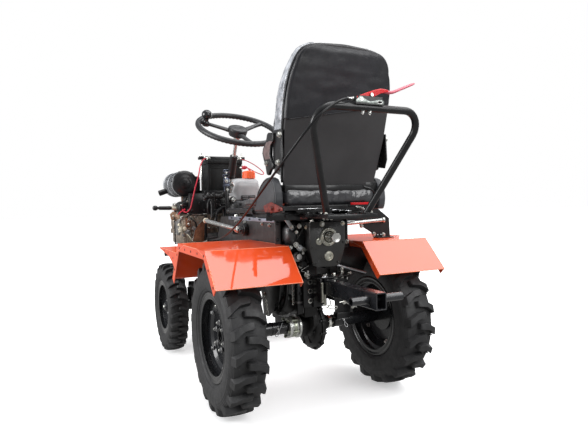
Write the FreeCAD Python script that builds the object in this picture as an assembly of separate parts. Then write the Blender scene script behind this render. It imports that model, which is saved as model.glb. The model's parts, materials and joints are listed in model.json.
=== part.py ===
import FreeCAD, Part
import os, math

# Compact ride-on tractor with a front engine and a walking-tractor style rear gearbox.
# Working frame while drawing: X forward, Y left, Z up, zero on the ground under the rear axle, millimetres.
# Every shape is moved by -XC along X when it is written, so the origin is the middle of the footprint.

# ------------------------------------------------------------------ driving dimensions
XC = 380.0            # middle of the length, from the rear axle
WB = 920.0            # wheelbase
TRACK = 700.0         # both axles
REAR_R = 282.5        # rear tyre outer radius, 5.00-12 size, over the lugs
REAR_W = 140.0
REAR_BEAD = 152.0
FRONT_R = 229.0       # front tyre outer radius, 4.00-10 size
FRONT_W = 98.0
FRONT_BEAD = 127.0
FEN_TOP = 616.0       # fender top surface
FEN_OUT = 468.0       # fender outer edge, from the middle plane
FEN_IN = 158.0        # fender inner edge
SHEET = 3.0
RAIL_Y = 150.0        # outer face of each frame rail
RAIL_Z0, RAIL_Z1 = 588.0, 706.0
BOX_BACK = -160.0     # rear face of the transmission box
PTO_Y, PTO_Z = -9.0, 636.0
BOX_TOP = 690.0
DRAW_Z = 456.0
DRAW_H = 28.0          # half height of the drawbar tube
KING_Y = 235.0        # kingpins
ARM = 120.0           # steering arm length
COL_Y = 45.0          # steering column offset to the left
SEAT_Z = 728.0        # top of the seat base plate
TILT = 15.0           # backrest recline, degrees
STEER_R = 200.0       # steering wheel, centre line of the rim
STEER_TILT = 28.2     # column lean from upright, degrees

V = FreeCAD.Vector
X, Y, Z = V(1, 0, 0), V(0, 1, 0), V(0, 0, 1)
OUT = {}


def put(name, *shapes):
    s = shapes[0]
    if len(shapes) > 1:
        s = s.multiFuse(list(shapes[1:]))
    try:
        r = s.removeSplitter()
        if r.isValid() and r.Volume > 0:
            s = r
    except Exception:
        pass
    OUT[name] = s
    return s


def box(x0, x1, y0, y1, z0, z1, r=0.0, only=None):
    b = Part.makeBox(x1 - x0, y1 - y0, z1 - z0, V(x0, y0, z0))
    if r:
        ed = b.Edges
        if only:
            ed = [e for e in ed if abs((e.Vertexes[1].Point - e.Vertexes[0].Point).normalize().dot(only)) > 0.99]
        b = b.makeFillet(r, ed)
    return b


def cyl(r, p, q):
    p, q = V(*p), V(*q)
    d = q - p
    return Part.makeCylinder(r, d.Length, p, d)


def ring(ro, ri, p, q):
    return cyl(ro, p, q).cut(cyl(ri, p, q))


def cone(r0, r1, p, q):
    p, q = V(*p), V(*q)
    d = q - p
    return Part.makeCone(r0, r1, d.Length, p, d)


def poly(pts, d):
    w = Part.makePolygon([V(*p) for p in pts] + [V(*pts[0])])
    return Part.Face(w).extrude(V(*d))


def rev(profile, y0, axis_pt=(0, 0, 0)):
    """profile: list of (y, r) or ('a', mid(y,r), end(y,r)) arcs, turned about an axis along Y through axis_pt."""
    edges = []
    start = profile[0]
    last = start
    P = lambda t: V(axis_pt[0], axis_pt[1] + y0 + t[0], axis_pt[2] + t[1])
    for it in profile[1:]:
        if it[0] == 'a':
            edges.append(Part.Arc(P(last), P(it[1]), P(it[2])).toShape())
            last = it[2]
        else:
            edges.append(Part.LineSegment(P(last), P(it)).toShape())
            last = it
    if (P(last) - P(start)).Length > 1e-6:
        edges.append(Part.LineSegment(P(last), P(start)).toShape())
    f = Part.Face(Part.Wire(edges))
    return f.revolve(V(*axis_pt), V(0, 1, 0), 360)


def path_wire(pts, radii=None, rmax=1e9, k=0.45):
    """straight runs joined by tangent arcs; returns the wire and its length"""
    p = [V(*a) for a in pts]
    n = len(p)
    cur = p[0]
    edges = []
    for i in range(1, n - 1):
        a, b, c = p[i - 1], p[i], p[i + 1]
        u = (a - b); lu = u.Length; u = u.normalize()
        w = (c - b); lw = w.Length; w = w.normalize()
        ang = math.pi - math.acos(max(-1, min(1, u.dot(w))))
        r = k * min(lu, lw) / math.tan(ang / 2)
        if radii:
            r = min(radii[i - 1], r)
        r = min(r, rmax)
        t = r * math.tan(ang / 2)
        s, e = b + u * t, b + w * t
        bis = (u + w).normalize()
        m = b + bis * (r / math.cos(ang / 2) - r)
        if (s - cur).Length > 1e-6:
            edges.append(Part.LineSegment(cur, s).toShape())
        edges.append(Part.Arc(s, m, e).toShape())
        cur = e
    edges.append(Part.LineSegment(cur, p[-1]).toShape())
    return Part.Wire(edges)


def tube(pts, r, ri=0.0, radii=None, rmax=1e9):
    w = path_wire(pts, radii, rmax)
    d = V(*pts[1]) - V(*pts[0])
    c = Part.Wire([Part.makeCircle(r, V(*pts[0]), d)])
    s = w.makePipeShell([c], True, False)
    if abs(s.Volume - math.pi * r * r * w.Length) > 0.02 * s.Volume:
        print("pipe volume differs", s.Volume, math.pi * r * r * w.Length)
    if ri:
        c2 = Part.Wire([Part.makeCircle(ri, V(*pts[0]), d)])
        s = s.cut(w.makePipeShell([c2], True, False))
    return s


def mirror(s):
    return s.mirror(V(0, 0, 0), V(0, 1, 0))


def hexbolt(c, d, s=13.0, h=6.0):
    """small bolt head standing on point c along direction d"""
    c, d = V(*c), V(*d).normalize()
    t = X if abs(d.dot(X)) < 0.9 else Y
    a = d.cross(t).normalize()
    b = d.cross(a)
    R = s / math.sqrt(3)
    pts = [c + a * (R * math.cos(k * math.pi / 3)) + b * (R * math.sin(k * math.pi / 3)) for k in range(7)]
    return Part.Face(Part.makePolygon(pts)).extrude(d * h)


# ------------------------------------------------------------------ wheels
def tyre(W, R, bead, drop):
    h = W / 2
    b = h * 0.68
    prof = [(-b, bead), (b, bead), (b + 1, bead + 14)]
    prof += [('a', (h * 0.985, (bead + R) / 2 - 8), (h, R - drop - 14))]
    prof += [(h - 3, R - drop)]
    prof += [('a', (0, R), (-(h - 3), R - drop))]
    prof += [(-h, R - drop - 14)]
    prof += [('a', (-h * 0.985, (bead + R) / 2 - 8), (-(b + 1), bead + 14))]
    return prof


def wheel(side, x, z, R, W, bead, drop, disc_r, disc_y, hub_r, axle_r, tag, sleeve):
    s = 1 if side == 'left' else -1
    c = (x, 0, z)
    yc = s * TRACK / 2
    t = rev(tyre(W, R, bead, drop), yc, c)
    put('%s_tyre_%s' % (tag, side), t)
    b = W / 2 * 0.68
    # barrel with a drop centre and two lips
    g = 0.25
    prof = [(-(b + 5), bead - 12), (-(b + 5), bead + 12), (-(b + 1.5), bead + 13), (-(b + 1.0), bead - g),
            (-b * 0.55, bead - g), (-b * 0.4, bead - 13), (b * 0.4, bead - 13), (b * 0.55, bead - g), (b + 1.0, bead - g),
            (b + 1.5, bead + 13), (b + 5, bead + 12), (b + 5, bead - 12), (b + 2, bead - 5), (b * 0.6, bead - 5),
            (b * 0.45, bead - 18), (-b * 0.45, bead - 18), (-b * 0.6, bead - 5), (-(b + 2), bead - 5)]
    rim = rev(prof, yc, c)
    # dished disc: flat middle, cone out to the barrel
    dy = disc_y
    dprof = [(dy, axle_r + 0.0), (dy, disc_r), (dy + 9, disc_r + 14), (dy + 11, bead - 16), (dy + 16, bead - 16),
             (dy + 14, disc_r + 16), (dy + 5, disc_r + 2), (dy + 5, axle_r)]
    dprof = [(s * a, r) for a, r in dprof]
    disc = rev(dprof, yc, c)
    body = rim.fuse(disc)
    return body, yc, s, c


def rear_wheel(side):
    body, yc, s, c = wheel(side, 0, REAR_R, REAR_R, REAR_W, REAR_BEAD, 9, 106, 8, 60, 27, 'rear', 0)
    yd = yc + s * 8           # inner face of the disc
    for k in range(6):
        a = math.radians(60 * k + 20)
        p = (50 * math.cos(a), yd + s * 5, REAR_R + 50 * math.sin(a))
        body = body.fuse(hexbolt(p, (0, s, 0), 14, 8))
    put('rear_rim_' + side, body)
    # half axle, the square-cut sleeve that is pinned on it, and the flange that the disc is bolted to
    h = cyl(15.5, (0, s * 0.5, REAR_R), (0, s * (TRACK / 2 - 4), REAR_R))
    h = h.fuse(cyl(25, (0, s * 104, REAR_R), (0, yd - s * 8, REAR_R)))
    h = h.fuse(cyl(66, (0, yd - s * 9, REAR_R), (0, yd - s * 0.2, REAR_R)))
    h = h.fuse(ring(26.5, 19, (0, yd - s * 9, REAR_R), (0, yd + s * 8, REAR_R)))
    put('rear_hub_' + side, h)


def front_wheel(side):
    body, yc, s, c = wheel(side, WB, FRONT_R, FRONT_R, FRONT_W, FRONT_BEAD, 6, 62, -6, 30, 22.0, 'front', 0)
    yd = yc - s * 6
    hub = cyl(31, (WB, yd - s * 52, FRONT_R), (WB, yd + s * 24, FRONT_R))
    fl = cyl(56, (WB, yd - s * 7, FRONT_R), (WB, yd + s * 0.5, FRONT_R))
    cap = cone(27, 22, (WB, yd + s * 24, FRONT_R), (WB, yd + s * 34, FRONT_R))
    bore = cyl(15.05, (WB, yd - s * 53, FRONT_R), (WB, yd + s * 18, FRONT_R))
    body = body.multiFuse([hub, fl, cap]).cut(bore)
    for k in range(4):
        a = math.radians(90 * k + 30)
        p = (WB + 45 * math.cos(a), yd + s * 5, FRONT_R + 45 * math.sin(a))
        body = body.fuse(hexbolt(p, (0, s, 0), 13, 7))
    put('front_rim_' + side, body)


for side in ('left', 'right'):
    rear_wheel(side)
    front_wheel(side)

# ------------------------------------------------------------------ rear gearbox
# tall casing on the middle plane with a round foot about the axle
cw = 57.0
foot = cyl(94, (0, -cw + 6, REAR_R), (0, cw - 6, REAR_R))
neck = box(-72, 72, -cw + 10, cw - 10, REAR_R, 540)
cover = cyl(86, (0, -cw, REAR_R), (0, cw, REAR_R))
rimf = cyl(101, (0, -7, REAR_R), (0, 7, REAR_R))
flanges = [ring(44, 15.6, (0, cw - 1, REAR_R), (0, 98, REAR_R)), ring(27, 15.6, (0, -cw + 1, REAR_R), (0, -98, REAR_R))]
case = foot.multiFuse([neck, cover, rimf] + flanges)
for k in range(9):
    a = math.radians(150 + k * 30)
    case = case.fuse(cyl(8, (92 * math.cos(a), -14, REAR_R + 92 * math.sin(a)), (92 * math.cos(a), 14, REAR_R + 92 * math.sin(a))))
case = case.cut(cyl(15.6, (0, -110, REAR_R), (0, 110, REAR_R)))
case = case.fuse(box(-84, -68.5, 34.3, 96, 396, 488))
case = case.fuse(cyl(8.5, (-59, 44, 468), (-59, 90, 468))).fuse(cyl(11, (-60, 92, 352), (-60, 92, 484)))
put('final_drive_case', case)
# transmission box: trapezoid from behind
tb = poly([(BOX_BACK, 72, BOX_TOP), (BOX_BACK, 74, 592), (BOX_BACK, 52, 540.5), (BOX_BACK, -52, 540.5), (BOX_BACK, -79, 590), (BOX_BACK, -76, BOX_TOP)], (270, 0, 0))
tb = tb.fuse(cyl(30, (BOX_BACK + 1, PTO_Y, PTO_Z), (BOX_BACK - 10, PTO_Y, PTO_Z)))
tb = tb.fuse(cyl(11, (BOX_BACK + 1, 37, 623), (BOX_BACK - 5, 37, 623)))
tb = tb.fuse(cyl(16, (BOX_BACK + 1, -2, 570), (BOX_BACK - 6, -2, 570)))
tb = tb.cut(cyl(18.5, (BOX_BACK - 20, PTO_Y, PTO_Z), (BOX_BACK + 60, PTO_Y, PTO_Z)))
for yy in (24, -62):
    tb = tb.fuse(hexbolt((BOX_BACK + 0.5, yy, BOX_TOP - 11), (-1, 0, 0), 12, 6))
put('transmission_box', tb)
put('pto_shaft', cyl(17.5, (BOX_BACK - 62, PTO_Y, PTO_Z), (BOX_BACK - 11, PTO_Y, PTO_Z)).fuse(cyl(15, (BOX_BACK - 11.5, PTO_Y, PTO_Z), (BOX_BACK + 58, PTO_Y, PTO_Z))))
# input pulley on the left of the box
pul = cyl(38, (-64, 98, 653), (-64, 141, 653)).fuse(cyl(14, (-64, 74.5, 653), (-64, 99, 653)))
put('input_pulley', pul)

# ------------------------------------------------------------------ drawbar
br = box(-104, -73, -24, 34, 372, 480)
br = br.multiFuse([box(-150, -100, 24, 34, 408, 486), box(-150, -100, -34, -24, 408, 486), box(-104, -73, -34, 34, 405, 486)])
put('drawbar_bracket', br.cut(cyl(6.2, (-130, 0, 300), (-130, 0, 600))))
dt = box(-490, -112, -20, 20, DRAW_Z - DRAW_H, DRAW_Z + DRAW_H, 4, X)
dt = dt.cut(box(-500, -100, -16, 16, DRAW_Z - DRAW_H + 4, DRAW_Z + DRAW_H - 4, 2, X))
dt = dt.cut(cyl(6.2, (-130, 0, 300), (-130, 0, 600)))
dt = dt.cut(cyl(13.5, (-445, -112, DRAW_Z), (-445, 86, DRAW_Z)))
put('drawbar', dt)
put('drawbar_cross_tube', ring(13.5, 10.5, (-445, -112, DRAW_Z), (-445, 86, DRAW_Z)))
hp = cyl(6, (-130, 0, 380), (-130, 0, 503)).fuse(cyl(10, (-130, 0, 496), (-130, 0, 503)))
put('hitch_pin', hp)

# ------------------------------------------------------------------ frame
def rail2(s):
    # web plate runs the whole length; it drops to the engine deck in front
    a = s * RAIL_Y
    b = s * (RAIL_Y - 5)
    web = poly([(-60, a, 588), (-60, a, 706), (640, a, 706), (700, a, 600), (1190, a, 600), (1190, a, 500), (640, a, 500), (560, a, 588)], (0, b - a, 0))
    fl = box(-60, 640, min(a, s * (RAIL_Y - 42)), max(a, s * (RAIL_Y - 42)), 701, 706)
    fb = box(-60, 560, min(a, s * (RAIL_Y - 42)), max(a, s * (RAIL_Y - 42)), 588, 593)
    r = web.multiFuse([fl, fb])
    for xx in (30, 180, 330, 480):
        r = r.cut(cyl(7, (xx, s * (RAIL_Y - 25), 690), (xx, s * (RAIL_Y - 25), 720)))
    return r


put('frame_rail_left', rail2(1).fuse(box(699.3, 706, 146, 206, 560, 600)))
put('frame_rail_right', rail2(-1).cut(cyl(10, (-35.2, -130, 680.3), (-35.2, -160, 681.7))))
# cross plates tie the rails to the gearbox, carry the tank and the engine
cm = box(-50, 110, -107.8, 107.8, 703.2, 706)
cm2 = box(112, 122, -144.8, 144.8, 600, 700)
cm3 = box(560, 640, -144.8, 144.8, 640, 650).fuse(box(596, 604, -144.8, 144.8, 520, 641))
cm4 = box(820, 900, -144.8, 5, 776, 785.8).fuse(box(840, 880, -149.8, -143, 600.2, 777))
OUT['crossmembers'] = Part.makeCompound([cm, cm2, cm3, cm4])
put('engine_deck', box(700, 1185, -144.8, 144.8, 492, 500).cut(cyl(16.5, (800, COL_Y, 480), (800, COL_Y, 510))).fuse(box(700, 708, -144.8, 144.8, 499, 590)))
fp = box(1190.2, 1198, -170, 170, 470, 640, 12, X)
bump = tube([(1197, 120, 560), (1237, 120, 560), (1237, -120, 560), (1197, -120, 560)], 13, 0, [30, 30])
put('front_bumper', fp.fuse(bump))

# ------------------------------------------------------------------ front axle
def plate_x(x0, x1, pts):
    return poly([(x0, a, b) for a, b in pts], (x1 - x0, 0, 0))


tri = [(-80, 491.8), (80, 491.8), (80, 440), (42, 256), (-42, 256), (-80, 440)]
ab = plate_x(WB - 36, WB - 28, tri).fuse(plate_x(WB + 28, WB + 36, tri)).fuse(box(WB - 36, WB + 36, -80, 80, 484, 491.8))
pin = cyl(10, (WB - 46, 0, 281), (WB + 46, 0, 281)).fuse(cyl(16, (WB - 46, 0, 281), (WB - 36, 0, 281))).fuse(cyl(16, (WB + 36, 0, 281), (WB + 46, 0, 281)))
put('front_axle_bracket', ab.fuse(pin))
beam = box(WB - 25, WB + 25, -212, 212, 262, 300, 4, Y).cut(cyl(10.05, (WB - 60, 0, 281), (WB + 60, 0, 281)))
for s in (1, -1):
    beam = beam.fuse(cyl(23, (WB, s * KING_Y, 256), (WB, s * KING_Y, 322)))
    beam = beam.fuse(poly([(WB - 12, s * 120, 299), (WB - 12, s * 215, 299), (WB - 12, s * 215, 320)], (24, 0, 0)))
for s in (1, -1):
    beam = beam.cut(cyl(13.05, (WB, s * KING_Y, 250), (WB, s * KING_Y, 330)))
put('front_axle_beam', beam)


def knuckle(side):
    s = 1 if side == 'left' else -1
    y = s * KING_Y
    k = cyl(13, (WB, y, 229), (WB, y, 346))
    k = k.fuse(box(WB - 24, WB + 24, min(y - s * 22, y + s * 26), max(y - s * 22, y + s * 26), 204, 251, 6, Y))
    k = k.fuse(cyl(20, (WB, y + s * 24, FRONT_R), (WB, y + s * 56.5, FRONT_R)))
    k = k.fuse(cyl(15, (WB, y + s * 54, FRONT_R), (WB, TRACK / 2 * s + s * 22, FRONT_R)))
    arm = box(WB - ARM, WB + 4, y - 14, y + 14, 328, 338).fuse(cyl(18, (WB, y, 327), (WB, y, 340))).fuse(cyl(14, (WB - ARM, y, 328), (WB - ARM, y, 338)))
    k = k.fuse(arm).fuse(cyl(17, (WB, y, 340), (WB, y, 352)))
    top = 384 if side == 'left' else 360
    k = k.fuse(cyl(6, (WB - ARM, y, 330), (WB - ARM, y, top)))
    k = k.cut(cyl(40, (WB, s * 361.5, FRONT_R), (WB, s * 400, FRONT_R)))
    put('knuckle_' + side, k)


knuckle('left')
knuckle('right')


def eye(c, z0, z1):
    return ring(13, 6.06, (c[0], c[1], z0), (c[0], c[1], z1))


tr = eye((WB - ARM, KING_Y), 343, 357).fuse(eye((WB - ARM, -KING_Y), 343, 357)).fuse(cyl(8, (WB - ARM, -KING_Y + 12, 350), (WB - ARM, KING_Y - 12, 350)))
tr = tr.cut(cyl(6.06, (WB - ARM, KING_Y, 340), (WB - ARM, KING_Y, 360))).cut(cyl(6.06, (WB - ARM, -KING_Y, 340), (WB - ARM, -KING_Y, 360)))
put('tie_rod', tr)
PX, PY = 800.0, COL_Y
pa = cyl(11, (PX, PY, 388), (PX, PY, 752)).fuse(cyl(17, (PX, PY, 386), (PX, PY, 402))).fuse(box(PX - ARM, PX, PY - 12, PY + 12, 388, 398)).fuse(cyl(13, (PX - ARM, PY, 388), (PX - ARM, PY, 398)))
pa = pa.fuse(cyl(6, (PX - ARM, PY, 360), (PX - ARM, PY, 390)))
put('pitman_arm', pa)
# drag link: pitman pin to the upper pin of the left knuckle
e0, e1 = V(PX - ARM, PY, 370), V(WB - ARM, KING_Y, 370)
u = (e1 - e0).normalize()
dl = eye((e0.x, e0.y), 363, 377).fuse(eye((e1.x, e1.y), 363, 377))
a, b = e0 + u * 11, e1 - u * 11
dl = dl.fuse(cyl(8, tuple(a), tuple(b)))
for e in (e0, e1):
    dl = dl.cut(cyl(6.06, (e.x, e.y, 350), (e.x, e.y, 392)))
put('drag_link', dl)

# ------------------------------------------------------------------ steering column and wheel
C1 = V(652, COL_Y, 1146)          # centre of the rim
SLEN = 356.3
C0 = C1 - V(-math.sin(math.radians(STEER_TILT)), 0, math.cos(math.radians(STEER_TILT))) * SLEN   # lower end, above the steering box
ax = (C1 - C0).normalize()
P = lambda t: tuple(C0 + ax * t)
L = (C1 - C0).Length
shaft = cyl(9, P(6), P(L - 32)).fuse(cyl(17, P(0), P(34)))
put('steering_shaft', shaft.fuse(cyl(12, P(L - 70), P(L - 34))))
col = cyl(19, P(60), P(210)).cut(cyl(9.07, P(50), P(230)))
# foot bracket from the frame up to the column tube
fb = box(752, 762, COL_Y - 40, COL_Y - 22, 650, 905).fuse(box(752, 762, COL_Y + 22, COL_Y + 40, 650, 905)).fuse(box(752, 786, COL_Y - 40, COL_Y + 40, 884, 925))
fb = fb.cut(cyl(18.9, P(30), P(240)))
put('steering_column', col.fuse(fb).cut(cyl(9.07, P(20), P(240))))
sg = box(762.2, 838, COL_Y - 36, COL_Y + 36, 706, 762, 8, Z).cut(cyl(11.06, (PX, PY, 690), (PX, PY, 754)))
sg = sg.fuse(cyl(14, (PX, PY, 760), (PX, PY, 780)))
sg = sg.fuse(box(700, 900, COL_Y - 30, COL_Y + 30, 696, 706.5).cut(cyl(16, (PX, PY, 690), (PX, PY, 704))).common(box(740, 842, 0, 100, 690, 710)))
sg = sg.cut(cyl(11.06, (PX, PY, 690), (PX, PY, 754)))
sg = sg.fuse(box(740, 751.8, COL_Y - 60, COL_Y + 60, 640, 706.5))
sg = sg.cut(box(751.8, 762.2, COL_Y - 40.2, COL_Y - 21.8, 630, 720)).cut(box(751.8, 762.2, COL_Y + 21.8, COL_Y + 40.2, 630, 720))
put('steering_gearbox', sg)

# wheel: rim torus about the column axis, a deep hub and three spokes that rise to the rim
rim = Part.makeTorus(STEER_R, 14.5, C1, ax)
hub = cyl(50, P(L - 36), P(L + 9))
hub = hub.cut(cyl(12.05, P(L - 40), P(L - 33.5))).cut(cyl(9.02, P(L - 40), P(L - 31)))
e1v = Y
e2v = ax.cross(Y).normalize()
sw = rim.fuse(hub)
for deg in (93, 213, 333):
    a = math.radians(deg)
    d = e1v * math.cos(a) + e2v * math.sin(a)
    sw = sw.fuse(cyl(9, tuple(C1 + d * 40 - ax * 10), tuple(C1 + d * (STEER_R - 4) - ax * 2)))
# spinner knob stands on the left spoke just inside the rim
d = (e1v * math.cos(math.radians(-27)) + e2v * math.sin(math.radians(-27)))
k0 = C1 + d * 165
sw = sw.fuse(cyl(14, tuple(k0 - ax * 6), tuple(k0 + ax * 30))).fuse(Part.makeSphere(26, k0 + ax * 40))
put('steering_wheel', sw)

# ------------------------------------------------------------------ fenders, one bent sheet with edge flanges
FP = [(330, 462), (222, FEN_TOP), (-153, FEN_TOP), (-264, 500)]


def strip(pts, t):
    """closed outline of a sheet of thickness t below the polyline that runs front to back"""
    def nrm(a, b):
        dx, dz = b[0] - a[0], b[1] - a[1]
        l = math.hypot(dx, dz)
        # polyline runs towards -X, so the lower side is to the left of travel
        return (-dz / l, dx / l)
    low = []
    ns = [nrm(a, b) for a, b in zip(pts[:-1], pts[1:])]
    for i, p in enumerate(pts):
        if i == 0:
            n = ns[0]; k = 1
        elif i == len(pts) - 1:
            n = ns[-1]; k = 1
        else:
            n = (ns[i - 1][0] + ns[i][0], ns[i - 1][1] + ns[i][1])
            l = math.hypot(*n)
            n = (n[0] / l, n[1] / l)
            k = 1 / (n[0] * ns[i][0] + n[1] * ns[i][1])
        low.append((p[0] + n[0] * t * k, p[1] + n[1] * t * k))
    return pts + low[::-1]


STEP, FBR = [], []


def fender(side):
    s = 1 if side == 'left' else -1
    skin = poly([(x, s * FEN_IN, z) for x, z in strip(FP, SHEET)], (0, s * (FEN_OUT - FEN_IN), 0))
    fo = poly([(x, s * FEN_OUT, z) for x, z in strip(FP, 30)], (0, -s * SHEET, 0))
    fi = poly([(x, s * FEN_IN, z) for x, z in strip(FP, 24)], (0, s * SHEET, 0))
    f = skin.multiFuse([fo, fi]).cut(box(-41, 91, min(s * 157, s * 162), max(s * 157, s * 162), 580, 612.9))
    for x, z in ((196, 600), (112, 600), (24, 600), (-62, 600), (-140, 598), (240, 570), (286, 505), (-190, 555), (-240, 505)):
        f = f.cut(cyl(4, (x, s * (FEN_OUT - 8), z), (x, s * (FEN_OUT + 8), z)))
    put('fender_' + side, f)
    # step plate in front of the fender with a tapered outer web
    st = box(254.5, 600, min(s * 190, s * 464), max(s * 190, s * 464), 571, 574)
    st = st.cut(poly([(480, s * 180, 560), (610, s * 180, 560), (610, s * 330, 560)], (0, 0, 20)))
    web = poly([(262, s * 464, 574), (600, s * 464, 574), (600, s * 464, 570), (400, s * 464, 548), (330, s * 464, 520), (304, s * 464, 504)], (0, -s * SHEET, 0))
    st = st.fuse(web)
    for x, z in ((500, 566), (420, 562), (330, 548)):
        st = st.cut(cyl(3.5, (x, s * 455, z), (x, s * 470, z)))
    STEP.append(st)
    # bracket: plate from the rail out under the fender top, with an upright that ties to the seat base
    br = box(-40, 90, min(s * 150.2, s * 400), max(s * 150.2, s * 400), 606.5, 612.5)
    br = br.fuse(box(20, 26, min(s * 150.2, s * 300), max(s * 150.2, s * 300), 560, 607))
    FBR.append(br)


fender('left')
fender('right')
OUT['foot_steps'] = Part.makeCompound(STEP)
OUT['fender_brackets'] = Part.makeCompound(FBR)
# upright gusset on the right fender that carries the control shaft and ties in to the seat base
gu = poly([(-26.8, -130.4, 716), (-26.8, -130.4, 736), (-26.8, -290, 738), (-26.8, -307, 750), (-26.8, -379, 697), (-26.8, -383, 616.2), (-26.8, -302, 616.2), (-26.8, -290, 639), (-26.8, -231, 673), (-26.8, -222, 716)], (6, 0, 0))
gu = gu.fuse(box(-56, -22, -381, -304, 616.2, 620))
put('seat_gusset', gu)
# bright control shafts: one across to the right gusset, one from the bush on the left rail up to the left, and the short clutch rod
OUT['control_shafts'] = Part.makeCompound([cyl(8, (-35.2, -80, 678), (-35.2, -348, 690)), cyl(10.5, (412, 172, 654), (520, 280, 695)), cyl(3, (706.3, 195, 588), (904, 202, 552))])
# foot peg tube through both rails
pegs = []
for q in (1, -1):
    if q == 1:
        pegs.append(cyl(20, (402, 150.2, 650), (402, 180, 650)).cut(cyl(10.6, (408, 168, 652.5), (520, 280, 695))))
    pegs.append(ring(12, 9, (545, q * 154, 548), (545, q * 452, 548)).fuse(box(533, 557, min(q * 150.3, q * 156), max(q * 150.3, q * 156), 530, 568)))
OUT['foot_pegs'] = Part.makeCompound(pegs)

# ------------------------------------------------------------------ seat
bp = box(-235, 120, -130, 130, SEAT_Z - 8, SEAT_Z)
bp = bp.fuse(box(-60, 60, -60, 60, 706.2, SEAT_Z - 7))
bp = bp.fuse(box(-336, -230, -100, 100, SEAT_Z - 8, SEAT_Z))
bp = bp.fuse(poly([(-172, 120, 709), (-172, 120, 738), (-172, 249, 738), (-172, 249, 732), (-172, 217, 709)], (6, 0, 0)))
put('seat_base_plate', bp)
sf = box(-200, 160, 60, 84, SEAT_Z + 0.2, 752).fuse(box(-200, 160, -84, -60, SEAT_Z + 0.2, 752)).fuse(box(-190, -150, -190, 190, 744, 752)).fuse(box(60, 100, -190, 190, 744, 752))
sf = sf.fuse(box(-206, -200, -176, 176, 744, 758))
sp = poly([(-150, 230.3, 770), (-186, 230.3, 773), (-280, 230.3, 758), (-280, 230.3, 739.2), (-150, 230.3, 739.2)], (0, 4, 0))
sf = sf.multiFuse([sp, box(-216, -208.5, 168, 231, 744, 758), box(-209, -200, 168, 180, 744, 752)])
put('seat_frame', sf)
# the cushion is a wedge: its top falls away to the front
sc = box(-204, 232, -199, 199, 753.5, 827, 26)
put('seat_cushion', sc.cut(poly([(-20, -260, 829), (250, -260, 783), (250, -260, 860), (-20, -260, 860)], (0, 520, 0))))
# backrest drawn upright then reclined about the rear lower edge
def recline(s):
    s = s.copy()
    s.rotate(V(-190, 0, 850), V(0, 1, 0), -TILT)
    return s


def outline(g, z0):
    """rounded backrest outline in y,z, grown by g at the sides and top"""
    def ln(p, q):
        return Part.LineSegment(V(0, p[0], p[1]), V(0, q[0], q[1])).toShape()
    def arc(p, m, q):
        return Part.Arc(V(0, p[0], p[1]), V(0, m[0], m[1]), V(0, q[0], q[1])).toShape()
    r = [(186 + g, z0), (204 + g, 1010), (205.5 + g, 1129), (186 + g * 0.9, 1241 + g * 0.5), (125 + g * 0.5, 1305 + g)]
    m = [(200 + g, 1187), (167 + g * 0.7, 1283 + g * 0.7)]
    l = [(-a, b) for a, b in r]
    n = [(-a, b) for a, b in m]
    e = [ln(l[0], r[0]), ln(r[0], r[1]), ln(r[1], r[2]), arc(r[2], m[0], r[3]), arc(r[3], m[1], r[4]), arc(r[4], (0, 1313 + g), l[4]),
         arc(l[4], n[1], l[3]), arc(l[3], n[0], l[2]), ln(l[2], l[1]), ln(l[1], l[0])]
    return Part.Face(Part.Wire(e))


shell = outline(0, 829).extrude(V(14, 0, 0))
shell.translate(V(-190, 0, 0))
put('backrest_panel', recline(shell))
# the cushion thins towards the top
cush = outline(6, 850).extrude(V(130, 0, 0))
cush.translate(V(-190, 0, 0))
side = poly([(-175.5, -300, 850), (-98, -300, 850), (-84, -300, 900), (-80, -300, 1010), (-98, -300, 1120), (-122, -300, 1200), (-142, -300, 1280), (-152, -300, 1330), (-175.5, -300, 1330)], (0, 600, 0))
put('backrest_cushion', recline(cush.common(side)))
HIP, ARMS = [], []
for side, s in (('left', 1), ('right', -1)):
    dome = [(-6, 741), (-12, 760), (-40, 810), (-68, 835), (-99, 852), (-125, 860), (-151, 862), (-175, 855), (-193, 836), (-204, 808), (-207, 780), (-203, 758), (-195, 741)]
    hw = poly([(x, s * 201, z) for x, z in dome], (0, s * 29, 0))
    hw = hw.fuse(box(-60, -12, min(s * 150, s * 219), max(s * 150, s * 219), 741, 747))
    HIP.append(hw)
    # side bracket that joins the backrest to the seat: a plate with a hooked guard in front of it
    pl = [(-232, 1020), (-170, 1024), (-163, 985), (-160, 933), (-172, 900), (-224, 893), (-238, 926)]
    hk = [(-126, 1014), (-138, 1019), (-180, 1014), (-180, 987), (-155, 974), (-149, 940), (-158, 918), (-176, 905), (-172, 892), (-150, 887), (-130, 869), (-117, 873), (-106, 905), (-90, 930), (-80, 951), (-87, 968), (-104, 982), (-120, 1000)]
    br = poly([(x, s * 211.5, z) for x, z in pl], (0, s * 5, 0)).fuse(poly([(x, s * 211.5, z) for x, z in hk], (0, s * 12, 0)))
    br = br.multiFuse([cyl(8, (-222, s * 216, 1002), (-222, s * 221, 1002)), cyl(8, (-209, s * 216, 909), (-209, s * 221, 909))])
    ARMS.append(br)

OUT['hip_bolsters'] = Part.makeCompound(HIP)
OUT['backrest_brackets'] = Part.makeCompound(ARMS)

# grab bar loop behind the backrest
gb = [(-295, 80, 728.3), (-446, 223, 1066), (-446, -223, 1066), (-295, -80, 728.3)]
gbs = tube(gb, 12.5, 0, [62, 62])
hb = box(-461, -431, -38, 66, 1074, 1081).fuse(box(-461, -457, -34, 56, 1074, 1100)).fuse(box(-435, -431, -34, 56, 1074, 1100)).fuse(box(-461, -431, 62, 66, 1074, 1096))
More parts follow.
